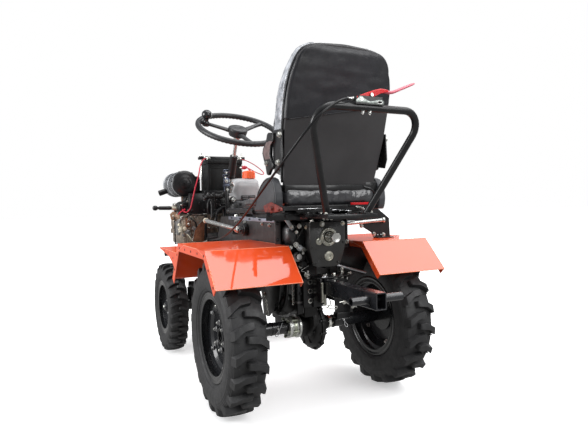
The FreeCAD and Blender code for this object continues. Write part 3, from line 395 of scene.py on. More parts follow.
# ------------------------------------------------------------------ tyres
def tyre(side, tag):
    s = 1 if side == "left" else -1
    rear = tag == "rear"
    cx, cz, cy = (0.0, 282.5, s * 350.0) if rear else (920.0, 229.0, s * 350.0)
    if rear:
        half = [(45.5, 153.2), (46.4, 158), (50.5, 165), (53.0, 168.5), (56.5, 170.0), (59.0, 173.2), (60.5, 177.4), (62.8, 178.6), (64.2, 182), (65.6, 187), (67.5, 194),
                (69.0, 203), (69.8, 213), (69.6, 222), (68.6, 229), (68.9, 230.6), (68.0, 232.0), (66.6, 235.2), (66.9, 237.0), (65.8, 238.4), (64.2, 241.2), (64.4, 243),
                (63.0, 244.2), (61.2, 246.8), (61.2, 248.6), (59.8, 249.6), (57.6, 251.8), (57.4, 253.6), (56, 254.2), (50, 256.6), (40, 258.6), (28, 260.0), (14, 260.9), (0, 261.2)]
        N, R0 = 20, 282.5
    else:
        half = [(32.5, 128.2), (33.5, 133), (37, 139), (39.5, 141), (41.5, 144), (42.6, 148), (44.0, 149.2), (45.2, 153), (47.2, 162), (48.6, 172), (48.9, 181), (48.2, 188),
                (48.4, 189.6), (47.4, 191.4), (46.2, 194.6), (46.4, 196.4), (45.2, 197.6), (43.6, 200.6), (43.4, 202.4), (41.8, 203.4), (36, 206.6), (26, 209.4), (13, 211), (0, 211.4)]
        N, R0 = 26, 229.0
    prof = [(w, r) for w, r in half] + [(-w, r) for w, r in half[-2::-1]]
    inner = [(-0.66 * w, r + 2.0) for w, r in ((0, 0),)]
    g = G("tread_%s_%s" % (tag, side), "wheel_%s_%s" % (tag, side), ["tyre"], "tyre")
    ring = [(t, r) for t, r in prof] + [(-prof[0][0] * 0.9, prof[0][1] + 4), (prof[0][0] * 0.9, prof[0][1] + 4)]
    g.lathe(ring, (cx, cy, cz), (0, 1, 0), 144, 0, closed=True)
    K = 1.0 if rear else 0.62

    def lug(phi, q):
        # cross sections from the shoulder to the tip: (w, t centre, half width top, half width base, r top)
        if rear:
            sec = [(64.0, -25, 15.5, 17.5, 246), (61.5, -24, 15, 18.5, 262.0), (58.5, -22.5, 14.5, 18.5, 275.5), (50, -17, 13, 17.5, 279.2), (38, -9.0, 11.5, 16, 280.6), (28, -2.5, 11.5, 15.5, 281.4), (20, 0.5, 11.8, 15.5, 281.9),
                   (4, 2.5, 11.8, 15.0, 282.4), (-11, 4.0, 11.2, 14.5, 282.3), (-14.5, 4.2, 10.2, 14, 279.5), (-17.5, 4.2, 9.5, 13.5, 262)]
            base = 254.0
        else:
            sec = [(46.5, -13, 7.5, 9, 200), (44.5, -12.5, 7.5, 9.5, 210.0), (42, -11.5, 7.2, 9.5, 222.5), (34, -8.0, 6.8, 9.0, 226.4), (24, -3.5, 6.6, 8.5, 227.8), (14, 0, 6.8, 8.5, 228.6), (-4, 1.5, 6.8, 8.2, 229.0),
                   (-7, 1.5, 6.0, 8, 226.5), (-9.0, 1.5, 5.6, 7.8, 211)]
            base = 203.0
        rings = []
        for w, t, ht, hb, rt in sec:
            rb = base if abs(w) < (60 if rear else 43) else base - 10
            row = []
            for tt, rr in ((t - hb, rb), (t - ht, rt), (t + ht, rt), (t + hb, rb)):
                a = phi + tt / R0
                row.append((cx - rr * math.cos(a), cy + q * w, cz + rr * math.sin(a)))
            rings.append(row)
        g.loft(rings, 0)

    for i in range(N):
        lug(2 * math.pi * (i + 0.02) / N, s)
        lug(2 * math.pi * (i + 0.52) / N, -s)
    # fine wear bars between the lugs
    if rear:
        for i in range(N):
            for q, o in ((s, 0.5), (-s, 0.0)):
                a0 = 2 * math.pi * (i + o + 0.02) / N
                rings = []
                for w in (60, 48, 38):
                    rr0, rr1 = 252.5, 261.8 - (w - 38) * 0.12
                    row = []
                    for tt, rr in ((-1.6, rr0), (-1.2, rr1), (1.2, rr1), (1.6, rr0)):
                        a = a0 + tt / R0
                        row.append((cx - rr * math.cos(a), cy + q * w, cz + rr * math.sin(a)))
                    rings.append(row)
                g.loft(rings, 0)
    # mould hairs
    if not rear:
        for i in range(N * 2):
            for q in (s, -s):
                a = 2 * math.pi * (i + rng.uniform(-0.2, 0.2)) / (N * 2)
                w = rng.uniform(38, 45) if i % 2 else rng.uniform(15, 30)
                r0 = 204.0 + (0 if w > 35 else 6)
                ln = rng.uniform(16, 27) if w > 35 else rng.uniform(8, 14)
                tilt = rng.uniform(-0.35, 0.35)
                tw = rng.uniform(-0.1, 0.5)
                er = Vector((-math.cos(a), 0, math.sin(a)))
                et = Vector((math.sin(a), 0, math.cos(a)))
                p0 = Vector((cx, cy, cz)) + er * r0 + Vector((0, q * w, 0))
                d = (er + et * tilt + Vector((0, q * tw, 0))).normalized()
                p1 = p0 + d * ln
                top = (p1 - Vector((cx, cy, cz)))
                rad = math.hypot(top.x, top.z)
                if rad > 233:
                    p1 = p0 + d * ln * (233 - r0) / (rad - r0)
                g.lathe([(0, 1.1), ((p1 - p0).length * 0.5, 0.8), ((p1 - p0).length, 0.3)], p0, d, 5)
    else:
        for i in range(N * 2):
            for q in (s, -s):
                if rng.random() < 0.55:
                    continue
                a = 2 * math.pi * (i + rng.uniform(-0.2, 0.2)) / (N * 2)
                er = Vector((-math.cos(a), 0, math.sin(a)))
                p0 = Vector((cx, cy, cz)) + er * 281 + Vector((0, q * rng.uniform(25, 50), 0))
                d = (er * 0.6 + Vector((0, q * 0.8, 0))).normalized()
                g.lathe([(0, 0.6), (3, 0.5), (rng.uniform(5, 8), 0.2)], p0 - er * 3, d, 4)
    ob = g.make(bevel=1.6 if rear else 1.0, seg=2, sharp=40)
    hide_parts("%s_tyre_%s" % (tag, side))
    return ob


for side in ("left", "right"):
    tyre(side, "rear")
    tyre(side, "front")

# ------------------------------------------------------------------ seat
from mathutils import noise as mn

CT, ST = math.cos(math.radians(-15.0)), math.sin(math.radians(-15.0))


def rec(x, y, z):
    """upright backrest point to its reclined place"""
    dx, dz = x + 190.0, z - 850.0
    return (-190.0 + dx * CT + dz * ST, y, 850.0 - dx * ST + dz * CT)


HALF = [(829, 186), (1010, 204), (1129, 205.5), (1160, 203.6), (1187, 200), (1215, 194.5), (1241, 186), (1265, 176.5), (1283, 166), (1296, 149), (1305, 125), (1310, 88), (1312.4, 45), (1313, 1)]


def half(z):
    for (a, ha), (b, hb) in zip(HALF, HALF[1:]):
        if z <= b:
            t = (z - a) / (b - a)
            return ha + (hb - ha) * t
    return 1.0


def vn(x, y, z, s=1.0):
    return mn.noise(Vector((x * s, y * s, z * s)))


REFLECTION_SKIN_LOW_Z = 1092.0


# thin vinyl-like skin pulled over the upper half of the back board; its darker bluish colour is a painted reflection of
# the board's sheen
def sleeve():
    zs = list(np.linspace(REFLECTION_SKIN_LOW_Z, 1240, 30)) + [1250, 1260, 1270, 1279, 1287, 1294, 1300, 1305, 1309, 1312, 1314.5]
    nc = 56
    rows = []
    for z in zs:
        h = (half(min(z, 1312.9)) if z < 1312.9 else 30) + 1.6
        row = []
        for j in range(nc + 1):
            u = -1 + 2 * j / nc
            a = math.sin(u * math.pi / 2) if abs(u) > 0.0 else 0
            y = h * a
            ed = max(0.0, (abs(a) - 0.955) / 0.045)
            et = max(0.0, (z - 1290) / 24.5)
            e = min(1.0, math.hypot(ed, et))
            x = -191.6 + 13.5 * (1 - math.sqrt(max(0.0, 1 - e * e)))
            k = (1 - e)
            fold = 1.5 * vn(y * 0.012, 3.1, z * 0.035) + 1.0 * vn(y * 0.045, 7.7, z * 0.012) + 0.5 * vn(y * 0.09, 1.2, z * 0.05)
            lo = max(0, 1 - (z - REFLECTION_SKIN_LOW_Z) / 30.0)
            x -= k * (1.9 + fold * (0.35 + 0.65 * (1 - lo)) + 1.2 * lo * (0.5 + vn(y * 0.03, 2, 0)))
            row.append(rec(x, y, z + (1.6 * vn(y * 0.02, 5, 9) if z == zs[0] else 0) - 34 * (y / 200.0) * max(0.0, 1 - (z - REFLECTION_SKIN_LOW_Z) / (1240.0 - REFLECTION_SKIN_LOW_Z))))
        rows.append(row)
    g = G("back_sleeve", "chassis", ["sleeve"], "seat_vinyl")
    vs = [p for r in rows for p in r]
    n = nc + 1
    g.add(vs, [(i * n + j, i * n + j + 1, (i + 1) * n + j + 1, (i + 1) * n + j) for i in range(len(rows) - 1) for j in range(nc)])
    ob = g.make(sharp=180)
    m = ob.modifiers.new("t", "SOLIDIFY")
    m.thickness, m.offset = 0.0014, 1.0
    # turned hem along the lower edge
    g = G("sleeve_hem", "chassis", ["sleeve"], "seat_vinyl")
    pts = [Vector(p) + Vector((-0.6, 0, 1.0)) for p in rows[0][2:-2:3]]
    g.tube(pts, 1.5, 8, round_=1)
    g.make(sharp=180)


# darker and bluer than the board: painted reflection on the board's upper half
M["sleeve"] = mat("sleeve_vinyl", (0.0165, 0.0168, 0.0215), 0.38, vary=0.35, scale=5, rvary=0.12, bump=0.5, bscale=650, bump2=0.25, bscale2=40)
M["film"] = mat("film_over_vinyl", (0.030, 0.031, 0.035), 0.42, coat=1.0, coat_r=0.07, vary=0.5, scale=20, rvary=0.15, bump=0.2, bscale=300, bump2=0.9, bscale2=55, ior=1.5)
M["welt"] = mat("welt_piping", (0.012, 0.012, 0.013), 0.38, vary=0.2, scale=60, bump=0.2, bscale=500)
M["thread"] = mat("stitch_thread", (0.03, 0.03, 0.032), 0.6, vary=0.3, scale=200, bump=0.4, bscale=1500)
# the clear film itself: a thin clear skin with bright folds; its near-white tint is a painted highlight for the film's
# glints
glint_film_mat = mat("clear_film_painted_glint", (0.93, 0.95, 1.0), 0.14, coat=0.0, spec=1.0, vary=0.02, scale=40, rvary=0.08, bump2=1.0, bscale2=70, ior=1.5)
glint_film_mat.node_tree.nodes["Principled BSDF"].inputs["Alpha"].default_value = 0.30
M["clear"] = glint_film_mat
sleeve()


def soft_from(node, voxel, pressure, cap, shrink=1.5, frames=20, name=None):
    """cushion: remeshed copy of the CAD solid, puffed out by a cloth simulation"""
    src = NODES[node]
    me = src.data.copy()
    ob = bpy.data.objects.new(name or node + "_pad", me)
    scene.collection.objects.link(ob)
    bm = bmesh.new()
    bm.from_mesh(me)
    bmesh.ops.remove_doubles(bm, verts=bm.verts[:], dist=0.00002)
    bmesh.ops.recalc_face_normals(bm, faces=bm.faces[:])
    bm.to_mesh(me)
    bm.free()
    for m in list(me.materials):
        me.materials.clear()
        break
    dg = None
    r = ob.modifiers.new("r", "REMESH")
    r.mode, r.voxel_size = "VOXEL", voxel
    dg = bpy.context.evaluated_depsgraph_get()
    me2 = bpy.data.meshes.new_from_object(ob.evaluated_get(dg))
    ob.modifiers.clear()
    ob.data = me2
    # shrink a little
    bm = bmesh.new()
    bm.from_mesh(me2)
    bm.normal_update()
    for v in bm.verts:
        v.co -= v.normal * (shrink / 1000.0)
    bm.to_mesh(me2)
    bm.free()
    rest = np.zeros(len(me2.vertices) * 3, np.float64)
    me2.vertices.foreach_get("co", rest)
    rest = rest.reshape(-1, 3)
    c = ob.modifiers.new("c", "CLOTH")
    st = c.settings
    st.quality = 6
    st.mass = 0.3
    st.tension_stiffness = st.compression_stiffness = 18
    st.shear_stiffness = 8
    st.bending_stiffness = 0.6
    st.use_pressure = True
    st.uniform_pressure_force = pressure
    st.effector_weights.gravity = 0.0
    c.collision_settings.use_collision = False
    c.collision_settings.use_self_collision = False
    c.point_cache.frame_start, c.point_cache.frame_end = 1, frames + 1
    for fr in range(1, frames + 1):
        scene.frame_set(fr)
    dg = bpy.context.evaluated_depsgraph_get()
    me3 = bpy.data.meshes.new_from_object(ob.evaluated_get(dg))
    out = np.zeros(len(me3.vertices) * 3, np.float64)
    me3.vertices.foreach_get("co", out)
    out = out.reshape(-1, 3)
    ob.modifiers.clear()
    scene.frame_set(1)
    d = out - rest
    ln = np.linalg.norm(d, axis=1)
    k = np.minimum(1.0, (cap / 1000.0) / np.maximum(ln, 1e-9))
    out = rest + d * k[:, None]
    me2.vertices.foreach_set("co", out.ravel())
    me2.update()
    return ob


def normals_of(me):
    n = np.zeros(len(me.vertices) * 3)
    me.vertices.foreach_get("normal", n)
    return n.reshape(-1, 3)


def coords_of(me):
    c = np.zeros(len(me.vertices) * 3)
    me.vertices.foreach_get("co", c)
    return c.reshape(-1, 3)


def subdivide(ob):
    m = ob.modifiers.new("s", "SUBSURF")
    m.levels = m.render_levels = 1
    dg = bpy.context.evaluated_depsgraph_get()
    me = bpy.data.meshes.new_from_object(ob.evaluated_get(dg))
    ob.modifiers.clear()
    ob.data = me
    return me


def finish_pad(ob, node, material, wrinkle, grooves):
    me = subdivide(ob)
    co, no = coords_of(me), normals_of(me)
    d = np.zeros(len(co))
    for i in range(len(co)):
        p = co[i]
        d[i] = grooves(p, no[i])
        # film wrinkles: sharp ridges running across the surface
        a = mn.noise(Vector((p[0] * 26, p[1] * 14, p[2] * 30)))
        b = mn.noise(Vector((p[0] * 60 + 4, p[1] * 48, p[2] * 22)))
        d[i] += wrinkle / 1000.0 * (1.0 - 2.2 * abs(a)) * 0.55 + wrinkle / 1000.0 * 0.45 * (1.0 - 2.4 * abs(b))
    co = co + no * d[:, None]
    if node == "seat_cushion":
        # the pad thins quickly ahead of the hips and lies flat to the front edge
        for i in range(len(co)):
            x, z = co[i][0] * 1000 + XC, co[i][2] * 1000
            if x > -70 and z > 760:
                cad = min(827.0, 829.0 - max(0.0, x + 20) * 0.17)
                u = min(1.0, (x + 70) / 135.0)
                want = 827.0 - 39.0 * u * u * (3 - 2 * u)
                co[i][2] = (760 + (z - 760) * min(1.0, (want - 760) / (cad - 760))) / 1000.0
    me.vertices.foreach_set("co", co.ravel())
    me.update()
    me.materials.clear()
    me.materials.append(M[material])
    me.polygons.foreach_set("use_smooth", [True] * len(me.polygons))
    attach(ob, "chassis")
    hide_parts(node)
    return ob


def grooves_back(p, n):
    # sewn channels on the front face of the backrest
    y, z = p[1] * 1000, p[2] * 1000
    if n[0] < 0.35:
        return 0.0
    k = 0.0
    for yc in (-118, -40, 40, 118):
        k += math.exp(-((y - yc) / 4.0) ** 2)
    k *= 1.0 if 890 < z < 1240 else max(0.0, 1 - min(abs(z - 890), abs(z - 1240)) / 25.0)
    k2 = math.exp(-((z - 1245) / 4.0) ** 2) * (1 if abs(y) < 170 else 0.0)
    return -0.0058 * min(1.0, k + k2) * min(1.0, (n[0] - 0.35) / 0.3)


def grooves_seat(p, n):
    x, y = p[0] * 1000 + XC, p[1] * 1000
    if n[2] < 0.4:
        return 0.0
    k = 0.0
    for yc in (-118, -40, 40, 118):
        k += math.exp(-((y - yc) / 4.0) ** 2)
    k *= 1.0 if -120 < x < 150 else max(0.0, 1 - min(abs(x + 120), abs(x - 150)) / 25.0)
    k2 = math.exp(-((x - 160) / 4.0) ** 2) * (1 if abs(y) < 160 else 0.0)
    return -0.0058 * min(1.0, k + k2) * min(1.0, (n[2] - 0.4) / 0.3)


pad_back = soft_from("backrest_cushion", 0.006, 4.0, 7.0, shrink=3.0, name="backrest_pad")
finish_pad(pad_back, "backrest_cushion", "film", 1.6, grooves_back)
pad_seat = soft_from("seat_cushion", 0.006, 4.0, 7.0, shrink=3.5, name="seat_pad")
finish_pad(pad_seat, "seat_cushion", "film", 2.0, grooves_seat)

# piping where the cushion meets the board, and where the seat pad meets its pan
g = G("seat_welts", "chassis", ["welt"], "seat_vinyl")
zz = [838, 880, 940, 1000, 1060, 1120, 1150, 1175, 1200, 1225, 1250, 1272, 1288, 1300, 1308, 1312.5]
left = [rec(-173.5, half(z) + 2.5, z + (2 if z > 1280 else 0)) for z in zz]
right = [(p[0], -p[1], p[2]) for p in left]
g.tube(left + [rec(-173.5, 0, 1316.5)] + right[::-1], 3.6, 10, round_=2)
zb = 757
rect = [(-199, -160, zb), (-199, 160, zb), (-186, 190, zb), (-160, 197.5, zb), (190, 197.5, zb), (218, 186, zb), (229, 160, zb), (229, -160, zb), (218, -186, zb), (190, -197.5, zb), (-160, -197.5, zb), (-186, -190, zb)]
g.tube(rect, 3.4, 10, closed=True, round_=2)
g.make(sharp=180)

# stitched channel threads on the front of both pads
def threads():
    g = G("seat_stitching", "chassis", ["thread"], "seat_vinyl")
    bpy.context.view_layer.update()
    dg = bpy.context.evaluated_depsgraph_get()
    for ob, org, dr, rows in (
        (pad_seat, lambda t, y: W((t, y, 900)), Vector((0, 0, -1)), [(-118, -110, 150), (-40, -110, 150), (40, -110, 150), (118, -110, 150)]),
        (pad_back, lambda t, y: W((120, y, t)), Vector((-1, 0, 0)), [(-118, 900, 1225), (-40, 900, 1225), (40, 900, 1225), (118, 900, 1225)]),
    ):
        for y, a, b in rows:
            t = a
            while t < b:
                hits = []
                for tt in (t, t + 6.5):
                    ok, loc, nn, _ = ob.ray_cast(org(tt, y), dr)
                    if ok:
                        hits.append(Vector((loc.x * 1000 + XC, loc.y * 1000, loc.z * 1000)) + Vector(nn) * 0.5)
                if len(hits) == 2 and (hits[0] - hits[1]).length < 12:
                    g.tube([hits[0], (hits[0] + hits[1]) / 2 + Vector((0, 0, 0.0)) - dr * 0.5, hits[1]], 0.75, 6, round_=1)
                t += 10.0
    if g.v:
        g.make(sharp=180)


threads()


# clear film: loose folds along the left and right sides of the backrest and round its top edge
def film_strip(name, base, out, nrows, wid, seed):
    """a thin crumpled skin that follows base points and stands off along out vectors"""
    g = G(name, "chassis", ["clear"], "seat_vinyl")
    n = len(base)
    vs = []
    for i in range(n):
        for j in range(nrows):
            t = j / (nrows - 1)
            p = Vector(base[i]) + Vector(out[i]) * (wid * t)
            q = 2.6 * vn(i * 0.33, t * 2.0, seed) + 1.6 * vn(i * 0.9, t * 3.0, seed + 5)
            side = Vector(out[i]).cross(Vector(base[min(i + 1, n - 1)]) - Vector(base[max(i - 1, 0)]))
            if side.length > 1e-6:
                side.normalize()
            p += side * q * (0.4 + t) + Vector(out[i]) * (1.5 * vn(i * 0.5, 9 + t, seed) * t)
            vs.append(p)
    g.add(vs, [(i * nrows + j, i * nrows + j + 1, (i + 1) * nrows + j + 1, (i + 1) * nrows + j) for i in range(n - 1) for j in range(nrows - 1)])
    ob = g.make(sharp=180)
    m = ob.modifiers.new("t", "SOLIDIFY")
    m.thickness, m.offset = 0.00035, 0.0
    return ob


zf = [850 + i * 9 for i in range(32)] + [1145 + i * 8 for i in range(15)] + [1263, 1271, 1279, 1286, 1292, 1298, 1302]
bl = [rec(-171.0, half(z) + 3.0, z) for z in zf]
ol = [Vector(rec(-171.0, 1, 0)) - Vector(rec(-171, 0, 0)) if z < 1240 else (Vector((0, 1, 0)) * max(0.15, 1 - (z - 1240) / 70) + Vector((-0.26, 0, 0.96)) * min(1, (z - 1240) / 60)).normalized() for z in zf]
film_strip("film_left", bl, ol, 4, 5.5, 3.0)
yt = [170 - i * 9 for i in range(38)]
bt = [rec(-172.0, y, 1313.5 - max(0, abs(y) - 60) ** 2 * 0.0019 - 1) for y in yt]
ot = [Vector((-0.26, 0, 0.96)) for _ in yt]
film_strip("film_top", bt, ot, 4, 5.0, 11.0)
br_ = [(p[0], -p[1], p[2]) for p in bl]
orr = [Vector((o[0], -o[1], o[2])) for o in ol]
film_strip("film_right", br_, orr, 4, 4.5, 17.0)

# film drawn over the left flank of the back cushion, mirrored on the right; its pale bluish-white colour is a painted
# highlight
def flank(s):
    g = G("film_flank_%s" % ("left" if s > 0 else "right"), "chassis", ["flankfilm"], "seat_vinyl")
    zz_ = list(np.linspace(905, 1240, 60)) + [1246, 1252, 1258, 1264, 1270, 1276, 1281, 1286, 1290, 1294, 1297, 1300, 1302.5, 1304.5, 1306.5]
    xx_ = [-168, -160, -150, -140, -130, -121, -114]
    vs = []
    for i, z in enumerate(zz_):
        for j, x in enumerate(xx_):
            e = (j / (len(xx_) - 1) - 0.5) * 2
            off = 7.2 - 2.4 * e * e + 1.5 * vn(i * 0.35, j * 0.55, 31.0) + 0.9 * vn(i * 1.1, j * 1.3, 8.0)
            th, tz = half(z + 2.5) - half(z - 2.5), 5.0
            tl = math.hypot(th, tz)
            y, up_ = half(z) + off * tz / tl, -off * th / tl
            vs.append(rec(x - (1240 - z) * 0.0 + (0 if z < 1120 else -(z - 1120) * 0.19 * (j / 6)), s * y, z + up_))
    n = len(xx_)
    g.add(vs, [(i * n + j, i * n + j + 1, (i + 1) * n + j + 1, (i + 1) * n + j) for i in range(len(zz_) - 1) for j in range(n - 1)])
    ob = g.make(sharp=180)
    m = ob.modifiers.new("t", "SOLIDIFY")
    m.thickness, m.offset = 0.0004, 0.0


# pale bluish-white base with lighter patches: painted highlight of the film's glints
M["flankfilm"] = mat("flank_film_painted_highlight", (0.46, 0.49, 0.55), 0.30, coat=0.6, coat_r=0.1, vary=0.6, scale=34, rvary=0.15, bump2=1.0, bscale2=60, col2=(0.85, 0.88, 0.94))
M["flankfilm"].node_tree.nodes["Principled BSDF"].inputs["Alpha"].default_value = 0.72
flank(1)
flank(-1)


# side shells of the seat
def bolster(s):
    dome = [(-6, 741.5), (-12, 760), (-25, 787), (-40, 810), (-68, 835), (-99, 852), (-125, 860), (-151, 862), (-175, 855), (-193, 836), (-204, 808), (-207, 780), (-203, 758), (-195, 741.5)]
    g = G("hip_shell_%s" % ("left" if s > 0 else "right"), "chassis", ["bolster"], "seat_board")
    g.prism([(x, s * 201.2, z) for x, z in dome], (0, s * 28.6, 0), 0, ch=4.5)
    g.box(-60, -12, min(s * 152, s * 206), max(s * 152, s * 206), 741, 747, 0, 1.0)
    ob = g.make(bevel=None, sharp=50)
    return ob


hb = [bolster(1), bolster(-1)]
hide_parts("hip_bolsters")
# fine lip along both shells
g = G("hip_shell_trim", "chassis", ["welt", "zinc"], "seat_board")
for s in (1, -1):
    dome = [(-20, 760), (-46, 806), (-72, 829), (-101, 845), (-126, 853), (-150, 855), (-171, 849), (-187, 832), (-197, 806), (-199.5, 780), (-196, 760)]
    g.tube([(x, s * 229.9, z) for x, z in dome], 1.6, 8, round_=2)
g.make(sharp=180)


# ------------------------------------------------------------------ steering
SA = Vector((-math.sin(math.radians(28.2)), 0, math.cos(math.radians(28.2))))
S1 = Vector((652, 45, 1146))
E1, E2 = Vector((0, 1, 0)), SA.cross(Vector((0, 1, 0)))


def sp(phi, r, t):
    a = math.radians(phi)
    return S1 + (E1 * math.cos(a) + E2 * math.sin(a)) * r + SA * t


def steering():
    g = G("steering_wheel_rim", "steering", ["grip"], "grey_plastic")
    n, m = 384, 20
    rings = []
    for i in range(n):
        a = 360.0 * i / n
        ring = []
        for j in range(m):
            th = 2 * math.pi * j / m
            under = max(0.0, math.cos(th + 0.35))
            rr = 14.4 - 2.3 * (under ** 0.8) * (0.5 - 0.5 * math.cos(2 * math.pi * i * 64 / n)) if under > 0.05 else 14.4
            ring.append(sp(a, 200 + rr * math.sin(th), -rr * math.cos(th)))
        rings.append(ring)
    g.loft(rings, 0, closed=True)
    # spokes: tapered flat bars with a raised back
    for ph in (93, 213, 333):
        secs = []
        for r, w, t0, h in ((30, 15, -16, 8), (44, 14.5, -15, 8), (70, 13, -12, 7.5), (110, 12, -8.5, 7), (150, 11.5, -5.0, 7), (178, 12.5, -2.5, 8), (194, 15, -1.5, 9)):
            u = (E1 * -math.sin(math.radians(ph)) + E2 * math.cos(math.radians(ph)))
            c = sp(ph, r, t0)
            prof = [(-w, -h * .6), (-w * .8, -h), (w * .8, -h), (w, -h * .6), (w, h * .3), (w * .62, h * .85), (w * .3, h), (-w * .3, h), (-w * .62, h * .85), (-w, h * .3)]
            secs.append([c + u * a + SA * b for a, b in prof])
        g.loft(secs, 0)
    g.lathe([(-36, 38), (-35, 42), (-30, 44), (-9, 48.6), (-4, 50), (1, 49.6), (4.5, 47.2), (6.6, 43), (7.6, 36), (8.6, 22), (9.0, 12), (8.2, 11.2), (8.2, 1)], S1, SA, 64)
    ob = g.make(sharp=48)
    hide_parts("steering_wheel")
    g = G("steering_knob", "steering", ["knob"], "grey_plastic")
    c = sp(-27, 165, 0)
    g.lathe([(-18, 12), (-17, 17), (-14, 18.5), (1, 18.5), (4, 16), (8, 12.5), (15, 11.5), (21, 13.2), (25, 17.2), (29, 22), (35, 25.6), (42, 26.2), (49, 24.6), (55, 21), (60, 15.5), (62.5, 11), (63, 9), (62, 8.2), (62, 1)], c, SA, 40)
    g.make(sharp=50)
    g = G("steering_hub_nut", "steering", ["steel", "zinc"], "steel")
    g.ring(S1 + SA * -47, S1 + SA * -36, 19, 11, 32, 1)
    g.hexb(S1 + SA * -47, -SA, 30, 6, 0, washer=False)
    # universal joint at the foot of the shaft
    P_ = lambda t: S1 - SA * 356.3 + SA * t
    for k, ax in ((0, E1), (1, SA.cross(E1))):
        o = P_(40 + 14 * k)
        for q in (1, -1):
            g.cyl(o + ax * (q * 15), o + ax * (q * 23), 7.5, 16, 1)
            g.prism([o + ax * (q * 13) + SA * (-12) + SA.cross(ax) * -8, o + ax * (q * 13) + SA * 12 + SA.cross(ax) * -8, o + ax * (q * 13) + SA * 12 + SA.cross(ax) * 8, o + ax * (q * 13) + SA * (-12) + SA.cross(ax) * 8], ax * (q * 6), 0, 1.0)
    g.make(sharp=40)
    # column tube, its clamp and the stay down to the frame
    g = G("steering_column_tube", "chassis", ["black", "bluesteel", "zinc", "steel"], "black_paint")
    a0, a1 = P_(84), P_(210)
    g.lathe([(0, 9.6), (0, 18), (0.8, 19), (12, 19), (12.6, 20.2), (16, 20.2), (16.6, 19), (110, 19), (110.6, 20.4), (125, 20.4), (126, 19.4), (126, 9.6)], a0, SA, 40, 0, closed=True)
    g.ring(P_(209.5), P_(213.5), 14.5, 9.6, 32, 3)
    # split clamp ears with their bolts
    for t in (92, 120):
        o = P_(t)
        g.prism([o + E1 * 12 + SA * -7 - E2 * 14, o + E1 * 44 + SA * -7 - E2 * 12, o + E1 * 44 + SA * 7 - E2 * 12, o + E1 * 12 + SA * 7 - E2 * 14], E2 * 5, 1, 1.2)
        g.prism([o + E1 * 12 + SA * -7 + E2 * 9, o + E1 * 44 + SA * -7 + E2 * 9, o + E1 * 44 + SA * 7 + E2 * 9, o + E1 * 12 + SA * 7 + E2 * 9], E2 * 5, 1, 1.2)
        g.hexb(o + E1 * 34 + E2 * 14, E2, 10, 6, 2)
        g.cyl(o + E1 * 34 - E2 * 22, o + E1 * 34 + E2 * 16, 3.2, 12, 2)
    # stay
    g.box(752, 763, 67, 86, 652, 862, 0, 2.0)
    g.box(752, 790, 58, 88, 858, 872, 1, 2.5)
    g.prism([(756, 62, 872), (756, 92, 872), (756, 92, 900), (756, 74, 908), (756, 62, 898)], (9, 0, 0), 1, 1.5)
    g.hexb((755.6, 78, 888), (-1, 0, 0), 12, 7, 2)
    g.hexb((751.6, 76, 842), (-1, 0, 0), 10, 6, 2)
    g.box(748, 762, 30, 86, 652, 664, 0, 2)
    g.hexb((751, 44, 790), (-1, 0, 0), 15, 9, 3, turn=0.3)
    g.cyl((751.5, 44, 790), (766, 44, 790), 16, 24, 0)
    g.prism([(762, 30, 770), (762, 60, 764), (762, 86, 700), (762, 86, 664), (762, 30, 664), (762, 22, 720)], (5, 0, 0), 0, 1.0)
    # throttle wire along the tube
    u = -E2 * 20 - E1 * 15
    g.tube([P_(86) + u, P_(130) + u, P_(196) + u, P_(212) + u * 0.7], 2.4, 8, 3)
    ob = g.make(sharp=38)
    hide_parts("steering_column")


M["knob"] = mat("knob_plastic", (0.010, 0.010, 0.011), 0.22, coat=0.5, coat_r=0.08, vary=0.2, scale=60, bump=0.05)
steering()


